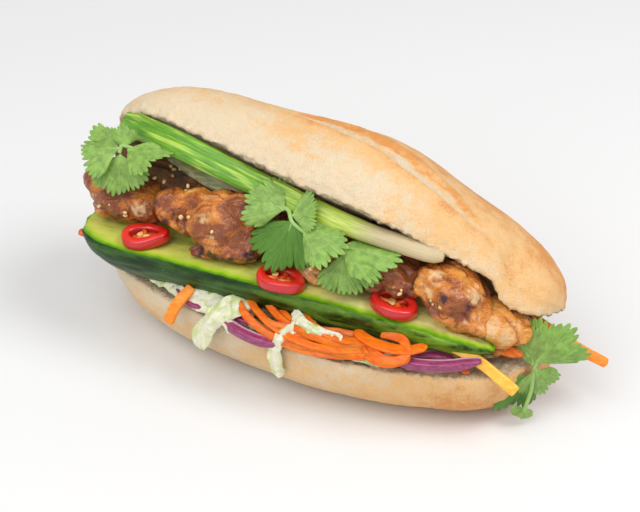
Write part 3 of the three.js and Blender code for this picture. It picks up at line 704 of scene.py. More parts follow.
def cucumber_look(settings):
    fleck, pale_skin, under_skin = (0.25, 0.34, 0.16), (0.26, 0.46, 0.030), (0.10, 0.30, 0.006)
    rind, lit_end_flesh, seed_band = (0.36, 0.56, 0.020), (0.90, 0.90, 0.34), (0.46, 0.48, 0.07)
    look = Look("cucumber", Subsurface_Weight=0.25, Subsurface_Scale=0.003,
                Subsurface_Radius=(0.6, 1.0, 0.3), Specular_IOR_Level=0.22, Coat_Weight=0.06,
                Coat_Roughness=0.2)
    depth, face = look.attribute("depth"), look.attribute("face")
    streaks = look.grain(3.2, 3.0, 0.55, (0.14, 1, 1)).step(0.40, 0.66)
    blotches = look.grain(9.0, 4.0, 0.7, (0.5, 1, 1)).step(0.42, 0.70)
    skin_color = look.mix(streaks * 0.6 + blotches * 0.4, tuple(settings.skin), tuple(settings.streak))
    flecks = 1 - look.cells(7.0).step(0.035, 0.075)
    skin_color = look.mix(flecks * 0.5, skin_color, fleck)
    end = look.attribute("end")
    skin_color = look.mix(end * (streaks * 0.45 + blotches * 0.6), skin_color, pale_skin)
    wander = (look.grain(4.0, 3.0) - 0.5) * 2.2
    edge = depth + wander
    color = look.mix((depth + wander * 0.2).step(0.5, 1.3), skin_color, under_skin)
    color = look.mix(edge.step(1.2, 3.4), color, rind)
    # Painted shade: the flesh is darker at the left, where the chicken shades it, and lit pale towards the
    # right end.
    flesh = look.mix(end.step(0.1, 0.9), tuple(settings.flesh), lit_end_flesh)
    color = look.mix(edge.step(2.6, 6.5), color, flesh)
    seeds = look.grain(3.0, 2.0, 0.5, (0.35, 1, 1)).step(0.48, 0.66) * edge.step(8.0, 12.0)
    color = look.mix(seeds * 0.45, color, seed_band)
    fine = look.grain(0.8, 3.0, 0.6)
    height = (1 - face) * (streaks * 0.5 + blotches * 0.5 + fine * 0.2) + face * (seeds * 0.6 + fine * 0.9)
    return look.done(color, 0.30 + fine * 0.18 + face * 0.05, look.bump(height, 0.25, 0.6))


class BANHMI_OT_cucumber(bpy.types.Operator):
    """Cucumber spear: half a cucumber, green skin below and the pale cut face up"""

    bl_idname = "banhmi.cucumber"
    bl_label = "Cucumber spear"

    def execute(self, context):
        settings = context.scene.banhmi_fillings
        points, quads = merged([skin(cucumber_rings(200, 72))], settings.cucumber_voxel / MM)
        points = relaxed(points, quads, 4)
        normal = facing(points, quads)
        middle, forward, down, radius = cucumber_frame(points[:, 0])
        across, deep = (points - middle) @ forward, (points - middle) @ down
        depth = np.maximum(radius - np.hypot(across, np.maximum(deep, 0)), 0)
        face = step(-(normal @ down), 0.4, 0.8)
        ridges = 0.42 * noise(points * (0.22, 1, 1), 8.0, 3) + 0.28 * noise(points * (0.4, 1, 1), 4.0, 5)
        dish = -0.9 * np.exp(-((across + 2) / 7) ** 2) + 0.30 * layered(points * (0.5, 1, 1), 6.0, 3, 8)
        knife = 0.12 * np.sin(points[:, 0] * 1.1 + 2 * noise(points, 20, 9))
        points = points + normal * (ridges * (1 - face) + (dish + knife) * face)[:, None]
        # end rises from the left to the right end; on the cut face it carries the painted shade at the left.
        marks = {"depth": depth, "face": face, "end": step(points[:, 0], -40, 60)}
        look = cucumber_look(settings)
        place("cucumber", points, quads.tolist(), look, "cucumber", ["cucumber_spear"], marks)
        return {"FINISHED"}


# ---------------------------------------------------------------- chicken

# Pieces of chicken. lobes: middle, half sizes, turn. char and fat: middle and reach of burnt and of pale
# places. tone: 0 pale and dry to 1 dark and glazed. shade: 1 for the piece at the back, which is
# painted dark as shade. lie: how many degrees its folds lie over.
CHICKEN = [
    {"lobes": [((-82, -8, 59), (17, 14, 10), (10, -8, 0)), ((-94, -5, 61), (9, 9, 9), (0, 10, 0)),
               ((-70, -14, 60), (9, 8, 7), (-20, 20, 0)), ((-88, -14, 55), (8, 5, 6), (0, 15, 20)),
               ((-98, -2, 65), (6, 6, 4), (0, -40, 0))],
     "char": [((-80, -19, 56), 5), ((-70, -22, 55), 4), ((-98, -8, 60), 4)],
     "fat": [((-92, -14, 58), 5), ((-70, -21, 62), 5)], "tone": 0.75, "lie": 25},
    {"lobes": [((-33, -19, 64), (17, 10.5, 13.5), (-28, 6, 4)), ((-27, -22, 57), (15, 8.5, 8), (-15, -8, 5)),
               ((-56, -17.5, 66), (8, 8, 9), (-20, 30, 0)), ((-44, -17, 71), (8, 6, 6), (-30, 10, 0)),
               ((-27, -17, 72), (9, 6, 6), (-30, -15, 0)), ((-31, -26, 54), (15, 3.4, 3.2), (0, -4, 6)),
               ((-52, -22, 60), (8, 3, 3), (0, 40, 0))],
     "char": [((-40, -28, 54), 4), ((-33, -30, 53), 4.5), ((-26, -30, 54), 5), ((-18, -28, 57), 5),
              ((-46, -25, 57), 3.5), ((-61, -22, 68), 3.5), ((-22, -22, 74), 3.5), ((-57, -25, 62), 3)],
     "fat": [((-33, -27, 62), 3.0), ((-38, -25, 69), 4.0), ((-24, -29, 51), 3)], "tone": 0.68, "lie": 35},
    # This piece lies at the back, in painted shade.
    {"lobes": [((-58, 6, 65), (19, 13, 10), (-20, 4, 0)), ((-45, 3, 67), (12, 9, 7), (-25, -6, 0)),
               ((-70, 2, 66), (9, 8, 7), (0, 10, 0)), ((-58, -3, 59), (14, 10, 9), (0, 0, 0)),
               ((-82, 3, 71), (11, 7, 7), (0, 12, 0))],
     "char": [((-60, -4, 72), 6)], "fat": [((-66, -4, 66), 3)], "tone": 0.5, "shade": 1.0},
    {"lobes": [((12, -12, 59), (13, 18, 10), (-14, 8, 0)), ((8, -24, 55), (8, 6, 6), (-20, 20, 0)),
               ((19, -23, 57), (7, 6, 6), (0, -15, 0))],
     "char": [((14, -27, 62), 4), ((8, -25, 64), 4)], "fat": [((6, -29, 56), 5), ((12, -30, 52), 4)],
     "tone": 0.45},
    {"lobes": [((38, -11, 57), (12, 17, 9), (-12, 8, 6)), ((43, -23, 57), (7, 6, 6), (-10, 10, 0)),
               ((33, -22, 55), (7, 6, 5), (0, 20, 0)), ((50, -20, 58), (4, 6, 8), (0, 20, 0))],
     "char": [((36, -22, 62), 4), ((47, -27, 55), 3), ((52, -24, 60), 5)], "fat": [((49, -28, 57), 1.8)],
     "tone": 1.0},
    {"lobes": [((62, -15, 55), (15, 16, 11), (-16, 14, 0)), ((69, -17, 47), (13, 11, 10), (0, 25, 0)),
               ((55, -22, 60), (7, 6, 7), (-20, 15, 0)), ((66, -24, 58), (6, 6, 6), (0, 25, 0)),
               ((62, -26, 51), (8, 5, 4), (0, 25, 0)), ((74, -24, 47), (7, 5, 4), (0, 30, 0))],
     "char": [((66, -25, 66), 3.2), ((63, -30, 60), 3.0), ((52, -26, 54), 3), ((72, -25, 55), 2.6)],
     "fat": [((58, -22, 66), 4.5), ((73, -22, 59), 5), ((72, -29, 50), 3), ((56, -28, 60), 3)],
     "tone": 0.5, "lie": -30},
    {"lobes": [((83, -12, 43), (13, 14, 7.5), (-6, 18, -8)), ((80, -19, 46), (7, 5, 5), (0, 15, 0)),
               ((87, -17, 42), (6, 6, 6), (0, 30, 0)), ((84, -20, 37), (4, 3, 5), (0, 20, 0))],
     "char": [((90, -20, 41), 2)], "fat": [((80, -23, 47), 7), ((86, -22, 44), 6)], "tone": 0.15},
    {"lobes": [((-14, -1, 60), (14, 16, 12), (-15, 5, 0)), ((-8, -14, 61), (8, 6, 7), (0, 15, 0))],
     "char": [((-8, -18, 66), 6)], "fat": [], "tone": 0.8},
]


def near(points, spots):
    """How near points are to any of some spots: the greatest of exp(-(distance / reach)^2)."""
    result = np.zeros(len(points))
    for middle, reach in spots:
        distance = np.linalg.norm(points - np.array(middle, float), axis=1)
        result = np.maximum(result, np.exp(-((distance / reach) ** 2)))
    return result


def meat_surface(piece, voxel, seed):
    """Lobes joined and relaxed, then moved out and in by lumps, and then by folds, long fibres and grain."""
    points, quads = merged([lump(*lobe) for lobe in piece["lobes"]], voxel)
    points = relaxed(points, quads, 6)
    lumps = summed(points, ((1.3, 10.0, seed), (0.45, 5.0, seed + 1))) - 0.3
    points = points + facing(points, quads) * lumps[:, None]

    lie = (0, piece.get("lie", 0), 0)
    bent = turned(points, lie) + 3.0 * np.stack([noise(points, 12, seed + k) for k in (5, 6, 7)], axis=-1)
    folds = creases(bent * (0.4, 1, 1), 8.0, seed + 2, 7)
    small = creases(bent * (0.3, 1, 1), 3.2, seed + 3, 5)
    fibres = noise(bent * (0.22, 1, 1), 1.9, seed + 3)
    grain = summed(points, ((0.16, 2.4, seed + 4), (0.13, 1.1, seed + 8)))
    points = points + facing(points, quads) * (0.26 * fibres - 1.15 * folds - 0.30 * small + grain)[:, None]

    # Creases that get painted shade.
    crease_shade = creases(points * (0.4, 1, 1), 8.0, seed + 2, 5)
    ridge = ((points - relaxed(points, quads, 10)) * facing(points, quads)).sum(-1)
    char = near(points, piece["char"]) * (1.1 + 0.9 * noise(points, 2.4, seed + 9))
    char += 0.6 * step(noise(points, 3.4, seed + 10), 0.50, 0.72) * step(ridge, -0.05, 0.25) * piece["tone"]
    fat = near(points, piece["fat"]) * (1 + 0.6 * noise(points, 2.0, seed + 11))
    fat += 0.5 * step(noise(points * (0.3, 1, 1), 2.6, seed + 12), 0.46, 0.66)
    tone = piece["tone"] + 0.5 * noise(points, 7.0, seed + 13)
    # Painted shade: darker in the creases; also lighter on the ridges.
    tone += 0.45 * crease_shade - 0.35 * np.clip(ridge, -0.6, 0.6)
    bent = turned(points, lie) + 1.5 * noise(points, 9, seed + 14)[:, None]
    streak = step(noise(bent * (0.2, 1, 1), 1.9, seed + 15), 0.15, 0.5)
    streak *= step(noise(points, 8, seed + 16), -0.3, 0.3)
    marks = {"char": char, "fat": fat, "tone": tone, "streak": streak,
             "shade": np.full(len(points), piece.get("shade", 0.0))}
    return points, quads, {key: np.clip(values, 0, 1) for key, values in marks.items()}


def chicken_look(settings):
    deep_glaze, singed, back_shade = (0.22, 0.044, 0.008), (0.20, 0.022, 0.010), (0.12, 0.065, 0.030)
    look = Look("grilled chicken", Subsurface_Weight=0.18, Subsurface_Scale=0.003,
                Subsurface_Radius=(1.0, 0.35, 0.15), Coat_Roughness=0.12, Specular_IOR_Level=0.5)
    char, fat, tone, shade = (look.attribute(name) for name in ("char", "fat", "tone", "shade"))
    fibre = look.grain(1.3, 3.0, 0.6, (0.25, 1, 1))
    fine = look.grain(0.9, 3.0, 0.7)
    blotch = look.grain(4.0, 4.0, 0.65)
    speck = look.grain(0.55, 2.0, 0.7)
    # dark follows the tone, so it also carries the painted shade in the creases.
    dark = (tone + (blotch - 0.5) * 0.9 + (fine - 0.5) * 0.9 + (speck - 0.5) * 0.6).limited()
    color = look.mix(dark.step(0.25, 0.7), tuple(settings.meat), tuple(settings.glaze))
    color = look.mix(dark.step(0.62, 1.0) * 0.85, color, deep_glaze)
    streak = look.attribute("streak") * (1 - dark.step(0.65, 1.0))
    color = look.mix(streak * fine.step(0.3, 0.6) * 0.55, color, tuple(settings.fat))
    pale = (fat + (fine - 0.5) * 0.9 + (fibre - 0.5) * 0.5).step(0.45, 0.95)
    color = look.mix(pale * 0.75, color, tuple(settings.fat))
    burnt = (char + (fine - 0.5) * 0.7 + (blotch - 0.5) * 0.5)
    color = look.mix(burnt.step(0.30, 0.65) * 0.7, color, singed)
    color = look.mix(burnt.step(0.70, 1.0), color, tuple(settings.char))
    # Painted shade: the piece at the back is darkened as if in shadow.
    color = look.mix(shade * 0.75, color, back_shade)
    height = fibre * 0.7 + fine * 0.9 + speck * 0.4 + blotch * 0.5
    look.feed(look.shader.inputs["Coat Weight"], 0.55 - shade * 0.45)
    roughness = 0.46 - burnt.step(0.5, 1.0) * 0.1 + (fine - 0.5) * 0.3
    return look.done(color, roughness, look.bump(height, 0.9, 1.0))


class BANHMI_OT_chicken(bpy.types.Operator):
    """Grilled chicken: eight glazed pieces with folds, fibres, pale fat and burnt rims"""

    bl_idname = "banhmi.chicken"
    bl_label = "Grilled chicken"

    def execute(self, context):
        settings = context.scene.banhmi_fillings
        look = chicken_look(settings)
        for number, piece in enumerate(CHICKEN, 1):
            points, quads, marks = meat_surface(piece, settings.meat_voxel / MM, 20 * number)
            name = f"chicken_piece_{number}"
            place(name, points, quads.tolist(), look, "chicken", [f"chicken_{number}"], marks)
        return {"FINISHED"}


# ---------------------------------------------------------------- stalks, strands and slices

def along_and_round(rows, corners):
    """For the points of a swept skin: how far along, 0 to 1, and the angle round the section."""
    along = np.repeat(np.linspace(0, 1, rows), corners)
    round_ = np.tile(np.linspace(0, 2 * math.pi, corners, endpoint=False), rows)
    return np.append(along, [0, 1]), np.append(round_, [0, 0])


def strand(route, width, thick, rows=70, corners=16, roundness=4.0, up=TO_FRONT, seed=0, rough=0.10,
           turn=0.0, blunt=14):
    """A shred: a squared-off section carried along a smooth route, a little uneven on its way."""
    path = curve(route, rows)
    along = np.linspace(0, 1, rows)
    ends = np.minimum(1, np.sqrt(np.maximum(np.minimum(along, 1 - along) * blunt, 0.03)))
    vary = 1 + rough * noise(path, 9.0, seed)
    path = path + 0.25 * np.stack([noise(path, 7.0, seed + k) for k in (1, 2, 3)], axis=-1)
    return swept(path, width / 2 * vary * ends, thick / 2 * vary * ends, roundness, corners, up, turn)


def stalk_look(settings):
    dark_green, light_green, white = (0.080, 0.26, 0.004), (0.50, 0.68, 0.09), (0.56, 0.45, 0.26)
    deep_yellow, light_yellow = (0.30, 0.48, 0.015), (0.60, 0.68, 0.12)
    look = Look("spring onion", Subsurface_Weight=0.3, Subsurface_Scale=0.003,
                Subsurface_Radius=(0.8, 1.0, 0.3), Coat_Weight=0.25, Coat_Roughness=0.2)
    along, rib = look.attribute("along"), look.attribute("rib")
    where = look.node("ShaderNodeCombineXYZ", {}, {0: along * 5.0, 1: rib * 3.0, 2: 0.0})
    narrow = {"Vector": where, "Scale": 3.2, "Detail": 4.0, "Roughness": 0.6}
    lines = look.node("ShaderNodeTexNoise", {}, narrow)
    wide = look.node("ShaderNodeTexNoise", {}, {"Vector": where, "Scale": 1.1, "Detail": 2.0})
    green = look.mix(lines.step(0.35, 0.66), dark_green, tuple(settings.onion_green))
    green = look.mix(wide.step(0.50, 0.64) * 0.8, green, light_green)
    yellow = look.mix(lines.step(0.3, 0.7), deep_yellow, light_yellow)
    color = look.mix((along + (lines - 0.5) * 0.25).step(0.42, 0.74), green, yellow)
    color = look.mix((along + (lines - 0.5) * 0.12).step(0.72, 0.84), color, white)
    return look.done(color, 0.36 + lines * 0.12, look.bump(lines, 0.35, 0.7))


def inner_leaf_look():
    look = Look("inner leaf", Subsurface_Weight=0.2, Subsurface_Scale=0.002)
    shade = look.grain(1.4, 3.0, 0.6, (0.2, 1, 1)).step(0.35, 0.65)
    return look.done(look.mix(shade, (0.20, 0.24, 0.09), (0.48, 0.44, 0.24)), 0.45)


def stalk_surface(rows=220, corners=72):
    """A flattened tube with 18 faint ribs, thinner towards its far end, folded along most of its length."""
    path = curve([(-88, 5, 86), (-57, -8, 88.6), (-29, -12, 83.5), (-1, -16, 79.1), (21, -18, 75.4),
                  (42, -18, 72.2), (59, -18, 70.2)], rows)
    along = np.linspace(0, 1, rows)
    places, heights = [0, 0.05, 0.3, 0.55, 0.8, 0.955, 0.98, 1], [4.0, 5.4, 5.3, 4.8, 4.0, 3.5, 2.9, 1.3]
    tall = np.interp(along, places, heights)
    flat = np.interp(along, [0, 0.05, 0.6, 0.8, 1], [0.45, 0.5, 0.62, 0.8, 0.9])
    points, faces = swept(path, tall, tall * flat, roundness=2.2, corners=corners, ribs=0.015, rib_count=18)
    where, round_ = along_and_round(rows, corners)
    fold = -0.9 * np.exp(-((np.cos(round_ - 1.9) - 1) / 0.03) ** 2) * step(0.72 - where, 0, 0.2)
    middle = np.concatenate([np.repeat(path, corners, axis=0), path[[0, -1]]])
    move = fold + 0.25 * noise(points * (0.3, 1, 1), 5.0, 2)
    points = points + unit(points - middle) * move[:, None]
    return points, faces, {"along": where, "rib": 2 + 2 * np.cos(round_ / 2)}


def inner_leaf_surface(rows=90, corners=40):
    path = curve([(-66, 2, 77), (-50, -4, 75), (-36, -8, 72), (-22, -10, 68)], rows)
    width = np.interp(np.linspace(0, 1, rows), [0, 0.3, 0.8, 1], [3.2, 3.8, 3.2, 1.2])
    return swept(path, width, 0.9, roundness=2.2, corners=corners)


class BANHMI_OT_spring_onion(bpy.types.Operator):
    """Spring onion: a flattened stalk ribbed along its length, green turning white, and a dull inner leaf"""

    bl_idname = "banhmi.spring_onion"
    bl_label = "Spring onion"

    def execute(self, context):
        look = stalk_look(context.scene.banhmi_fillings)
        points, faces, marks = stalk_surface()
        place("green_stalk", points, faces, look, "spring_onion", ["spring_onion"], marks)
        leaf = inner_leaf_surface()
        place("inner_stalk", *leaf, inner_leaf_look(), "spring_onion", ["spring_onion_leaf"])
        return {"FINISHED"}


# ---------------------------------------------------------------- chilli

CHILLI = {"across": 19.5, "tall": 15.0, "thickness": 4.8, "wall": 4.2}
CHILLI_RINGS = [
    ((-65.8, -25.1, 52.9), (2, -6, 12)), ((-3, -31.5, 52.6), (0, 3, 0)), ((42.6, -27, 50.2), (2, 6, 0)),
]


def chilli_wall(rows, corners, seed):
    """A bent ring: an oval middle line r(a), and round it a squared-off section of the wall."""
    angle = np.linspace(0, 2 * math.pi, rows, endpoint=False)
    out = np.stack([np.cos(angle), np.sin(angle), 0 * angle], axis=-1)
    vary = 1 + 0.05 * np.sin(2 * angle + seed) + 0.03 * np.sin(3 * angle + 2 * seed)
    size = np.array([CHILLI["across"] - CHILLI["wall"], CHILLI["tall"] - CHILLI["wall"], 1]) / 2
    middle = out * size * vary[:, None]
    middle[:, 2] += 0.5 * np.cos(2 * angle + seed)
    round_ = np.linspace(0, 2 * math.pi, corners, endpoint=False)
    wide = CHILLI["wall"] / 2 * (1 + 0.12 * np.sin(3 * angle + seed))
    out_by = out[:, None] * wide[:, None, None] * squared(np.cos(round_), 3.2)[None, :, None]
    up_by = np.array([0, 0, CHILLI["thickness"] / 2]) * squared(np.sin(round_), 3.6)[None, :, None]
    rings = middle[:, None] + out_by + up_by
    index = np.arange(rows * corners).reshape(rows, corners)
    ahead, over = np.roll(index, -1, axis=0), np.roll(index, -1, axis=1)
    faces = np.stack([index, ahead, np.roll(ahead, -1, axis=1), over], axis=-1).reshape(-1, 4).tolist()
    return rings.reshape(-1, 3), faces, np.tile(np.cos(round_), rows)


def chilli_look(settings):
    cut_edge, hole_edge = (0.74, 0.022, 0.012), (0.42, 0.008, 0.006)
    look = Look("chilli", Subsurface_Weight=0.3, Subsurface_Scale=0.002, Subsurface_Radius=(1.0, 0.2, 0.1),
                Coat_Weight=0.6, Coat_Roughness=0.08)
    outside = look.attribute("outside")
    fine = look.grain(1.2, 3.0, 0.6)
    outer = (outside + (fine - 0.5) * 0.4).step(0.35, 0.8)
    inner = (0 - outside + (fine - 0.5) * 0.4).step(0.5, 1.0)
    color = look.mix(outer, cut_edge, tuple(settings.red))
    color = look.mix(inner, color, hole_edge)
    return look.done(color, 0.25 + fine * 0.15, look.bump(fine, 0.15, 0.5))


def membrane_look():
    look = Look("chilli membrane", Subsurface_Weight=0.4, Subsurface_Scale=0.003, Coat_Weight=0.4,
                Coat_Roughness=0.15)
    tone = look.grain(2.2, 3.0, 0.6).step(0.35, 0.65)
    return look.done(look.mix(tone, (0.62, 0.025, 0.008), (0.88, 0.20, 0.03)), 0.35)


def seed_look():
    look = Look("chilli seed", Subsurface_Weight=0.2, Subsurface_Scale=0.002, Coat_Weight=0.3,
                Coat_Roughness=0.2)
    return look.done(look.mix(look.grain(1.0, 2.0), (0.86, 0.42, 0.10), (0.90, 0.62, 0.26)), 0.4)


def chilli_inside(rng, number):
    """What lies in a slice: three webs from its wall over a flat middle, and two seeds."""
    webs, seeds = [], []
    start = rng.uniform(0, 2)
    for k in range(3):
        angle = start + k * 2.1
        away = np.array([math.cos(angle) * 7, math.sin(angle) * 4.6, 0])
        route = np.array([(0, 0, -0.4), away * 0.5 + (0.6, 0, 0.2), away])
        webs.append(strand(route, 2.2, 2.6, rows=24, corners=14, roundness=2.5, up=(0, 0, 1),
                           seed=k + number, rough=0.5))
    webs.append(lump((0, 0, -1.2), (6.4, 4.2, 1.3), rows=20, columns=40))
    for k in range(2):
        angle = start + 0.9 + k * 2.6
        x, y = math.cos(angle) * rng.uniform(1.2, 3.6), math.sin(angle) * rng.uniform(0.6, 2.0)
        spot = (x, y, rng.uniform(0.5, 1.2))
        tip = tuple(rng.uniform(-25, 25, 3))
        seeds.append(lump(spot, (1.5, 1.2, 0.55), tip, rows=10, columns=14))
    return webs, seeds


class BANHMI_OT_chilli(bpy.types.Operator):
    """Three slices of red chilli: a glossy wall, orange membrane and pale seeds"""

    bl_idname = "banhmi.chilli"
    bl_label = "Chilli slices"

    def execute(self, context):
        settings = context.scene.banhmi_fillings
        rng = np.random.default_rng(4)
        red, core, pale = chilli_look(settings), membrane_look(), seed_look()
        for number, (at, turn) in enumerate(CHILLI_RINGS, 1):
            points, faces, outside = chilli_wall(96, 28, number)
            place(f"chilli_slice_{number}", turned(points, turn) + np.array(at), faces, red, "chilli",
                  [f"chilli_ring_{number}"], {"outside": outside})
            webs, seeds = chilli_inside(rng, number)
            for part, parts, look in (("membrane", webs, core), ("seeds", seeds, pale)):
                points, faces = gather(parts)
                points = turned(points + 0.25 * noise(points, 2.0, number)[:, None], turn) + np.array(at)
                place(f"chilli_{part}_{number}", points, faces, look, "chilli")
        return {"FINISHED"}


# ---------------------------------------------------------------- coriander

# Sprigs: stems by their routes; leaflets by foot, the way they point, the way their face looks, and length.
CORIANDER = {
    "left": ([[(-70, -9, 81.5), (-75, -12, 84.5), (-79.5, -14, 86.5), (-80, -16, 84)]], [
        ((-80.5, -15, 85.5), (-1, -0.2, -0.15), (0.1, -0.5, 1), 18),
        ((-79, -14, 86), (-0.1, 0.3, 0.75), (0.3, -1, 0.5), 9),
        ((-79.5, -16, 83.5), (0.12, -0.5, -0.9), (0.1, -1, 0.6), 17.5),
        ((-77, -14, 85), (1, -0.1, 0.18), (0, -0.15, 1), 19)]),
    "middle": ([[(-11, -20, 78), (-4, -21.5, 79), (-1, -24, 75.5), (8, -26, 72)]], [
        ((-5.5, -21.5, 78.5), (-0.95, 0.1, 0.28), (0, -0.8, 1), 17),
        ((-1, -23.5, 76), (-0.22, -0.42, -0.9), (0, -1, 0.55), 22),
        ((-1.5, -22.5, 77.5), (0.75, 0.05, 0.4), (-0.2, -0.9, 0.8), 12),
        ((4, -25, 74), (0.95, -0.15, -0.05), (0, -0.5, 1), 19)]),
    "right": ([[(17, -26, 71.5), (21.5, -26, 68.5), (25, -25, 67.5)]], [
        ((21.5, -26, 68), (0.35, -0.5, -0.9), (0.1, -1, 0.6), 18),
        ((20.5, -25.5, 70.5), (1, 0.05, -0.05), (0.1, -0.1, 1), 22)]),
    "end": ([[(93, -4, 40.5), (98, -8.5, 39), (98.6, -13, 33), (97.4, -16, 26.5), (97.4, -18, 17.4),
              (96, -21, 8.6)]], [
        ((98, -15.4, 30), (0.50, 0.2, 0.84), (0.3, -0.9, 0.5), 20.5),
        ((96.6, -15.6, 28), (-0.12, 0.1, 0.95), (0.1, -1, 0.2), 15),
        ((97, -16.8, 24), (-0.5, -0.34, -0.8), (0.7, -0.8, 0), 20),
        ((98, -16.3, 27), (0.2, 0.05, -0.95), (0.7, -0.8, 0.2), 14),
        ((94.5, -15.5, 31.5), (-0.5, 0.05, 0.85), (0, -1, 0.3), 13),
        ((96.3, -20.6, 10.5), (-0.3, -0.1, -0.95), (0.5, -0.9, 0.1), 7)]),
}
LEAF_SPREAD = math.radians(62)
# Leaflets that hang down and are painted darker as shade.
SHADED_LEAFLETS = {("middle", 1), ("end", 2)}  # sprig, and the leaflet counted from 0


def leaflet(foot, to, face, length, seed, rows=30, columns=210):
    """A fan about its foot. At angle s of the spread (-1 to 1) it reaches length times
    (0.68 + 0.19 |cos 1.5 pi s|^0.45 + 0.13 |cos 7.5 pi s|^0.8) (1 - 0.25 s^4). It droops and its rim waves.
    Returns its points, faces, veins and rim."""
    s = np.linspace(-1, 1, columns)[None]
    part = np.linspace(0, 1, rows)[:, None] ** 0.8
    lobes = np.abs(np.cos(1.5 * math.pi * s)) ** 0.45
    teeth = np.abs(np.cos(7.5 * math.pi * s)) ** 0.8 * (1 + 0.3 * np.sin(11 * s + seed))
    reach = length * (0.68 + 0.19 * lobes + 0.13 * teeth * part**4) * (1 - 0.25 * s**4)
    reach *= 1 + 0.07 * np.sin(3 * s + seed)
    angle = s * LEAF_SPREAD
    radius = reach * part
    x, y = radius * np.cos(angle), radius * np.sin(angle)
    far = part**2
    droop = -0.20 * length * far * (0.3 + 0.7 * s**2) + 0.045 * length * far * np.sin(7 * s + seed * 1.7)
    vein = np.zeros_like(x)
    for middle in (-2 / 3, 0, 2 / 3):
        distance = np.abs(angle - middle * LEAF_SPREAD) * radius
        vein = np.maximum(vein, np.exp(-((distance / (0.010 * length + 0.16)) ** 2)))
        for side in (-1, 1):
            for start in (0.3, 0.55):
                bend = middle + side * 0.30 * np.clip(part - start, 0, 1) / (1 - start) * (1.15 - start)
                distance = np.abs(angle - bend * LEAF_SPREAD) * radius
                vein = np.maximum(vein, 0.8 * np.exp(-((distance / 0.20) ** 2)) * (part > start))
    puckers = (1 - vein) * 0.020 * length * np.minimum(part * 3, 1)
    ahead = unit(np.array(to, float))
    side = unit(np.cross(np.array(face, float), ahead))
    above = np.cross(ahead, side)
    points = np.array(foot, float) + x[..., None] * ahead + y[..., None] * side
    points = points + (droop + puckers)[..., None] * above
    rim = np.broadcast_to(part**4, x.shape)
    return points.reshape(-1, 3), sheet_faces(rows, columns), vein.ravel(), rim.ravel()


def coriander_look(settings):
    rim_green, vein_green, dark_green = (0.20, 0.38, 0.06), (0.30, 0.46, 0.14), (0.060, 0.190, 0.012)
    look = Look("coriander leaf", Subsurface_Weight=0.25, Subsurface_Scale=0.002,
                Subsurface_Radius=(0.5, 1.0, 0.2), Specular_IOR_Level=0.4)
    vein, rim = look.attribute("vein"), look.attribute("rim")
    mottle = look.grain(3.0, 3.0, 0.6)
    fine = look.grain(0.7, 3.0, 0.6)
    deep, light = (tuple(part * value for value in settings.leaf) for part in (0.72, 1.28))
    color = look.mix(mottle.step(0.3, 0.7), deep, light)
    color = look.mix(rim * 0.35, color, rim_green)
    color = look.mix(vein * 0.55, color, vein_green)
    # Painted shade: the leaflets that hang down are darkened.
    color = look.mix(look.attribute("dark") * 0.8, color, dark_green)
    return look.done(color, 0.40 + fine * 0.12, look.bump(fine * 0.5 + vein * 0.6, 0.2, 0.7))


class BANHMI_OT_coriander(bpy.types.Operator):
    """Sprigs of coriander: lobed, toothed leaflets with veins, on thin stems"""

    bl_idname = "banhmi.coriander"
    bl_label = "Coriander"

    def execute(self, context):
        settings = context.scene.banhmi_fillings
        leaf_look = coriander_look(settings)
        stem_look = Look("coriander stem", Subsurface_Weight=0.3, Subsurface_Scale=0.002)
        tone = stem_look.grain(2.0, 2.0)
        stem_look = stem_look.done(stem_look.mix(tone, (0.22, 0.42, 0.08), (0.36, 0.55, 0.18)), 0.4)
        for name, (stems, leaflets) in CORIANDER.items():
            parts = [leaflet(*leaf, seed=3 * k + len(name)) for k, leaf in enumerate(leaflets)]
            dark = [np.full(len(part[0]), float((name, k) in SHADED_LEAFLETS)) for k, part in enumerate(parts)]
            points, faces, marks = gather_marked(parts, "vein", "rim")
            marks["dark"] = np.concatenate(dark)
            leaves = place(f"coriander_leaves_{name}", points, faces, leaf_look, "coriander",
                           [f"coriander_{name}"], marks)
            thicken(leaves, 0.35)
            tubes = [swept(curve(route, 70), 0.85, 0.85, roundness=2.0, corners=14) for route in stems]
            taper = np.linspace(0.7, 0.25, 12)
            for foot, to, _, length in leaflets:
                stalk = curve([foot, np.array(foot) + 0.22 * length * unit(np.array(to, float))], 12)
                tubes.append(swept(stalk, taper, taper, roundness=2.0, corners=10))
            place(f"coriander_stems_{name}", *gather(tubes), stem_look, "coriander")
        return {"FINISHED"}


# ---------------------------------------------------------------- carrot

# Loose sticks: route, width, thickness.
CARROT_STICKS = {
    "carrot_stick_left": (
        [(-41, -33, 39.5), (-43.8, -38, 36.5), (-46.2, -41, 32), (-48.5, -41.8, 26)], 4.4, 2.6),
    "carrot_stick_right": ([(66, -28, 38), (76, -29, 35.5), (86, -29.5, 30), (94.5, -30, 24.5)], 4.6, 3.8),
    "carrot_stick_end": ([(82, 8, 35), (96, 6, 31), (109, 5, 25.5), (122, 4, 21.5)], 4.2, 3.6),
    "carrot_loop": ([(34, -38, 37), (46, -44, 36), (53, -42, 38), (50, -36, 41), (40, -34, 40)], 3.6, 2.6),
}
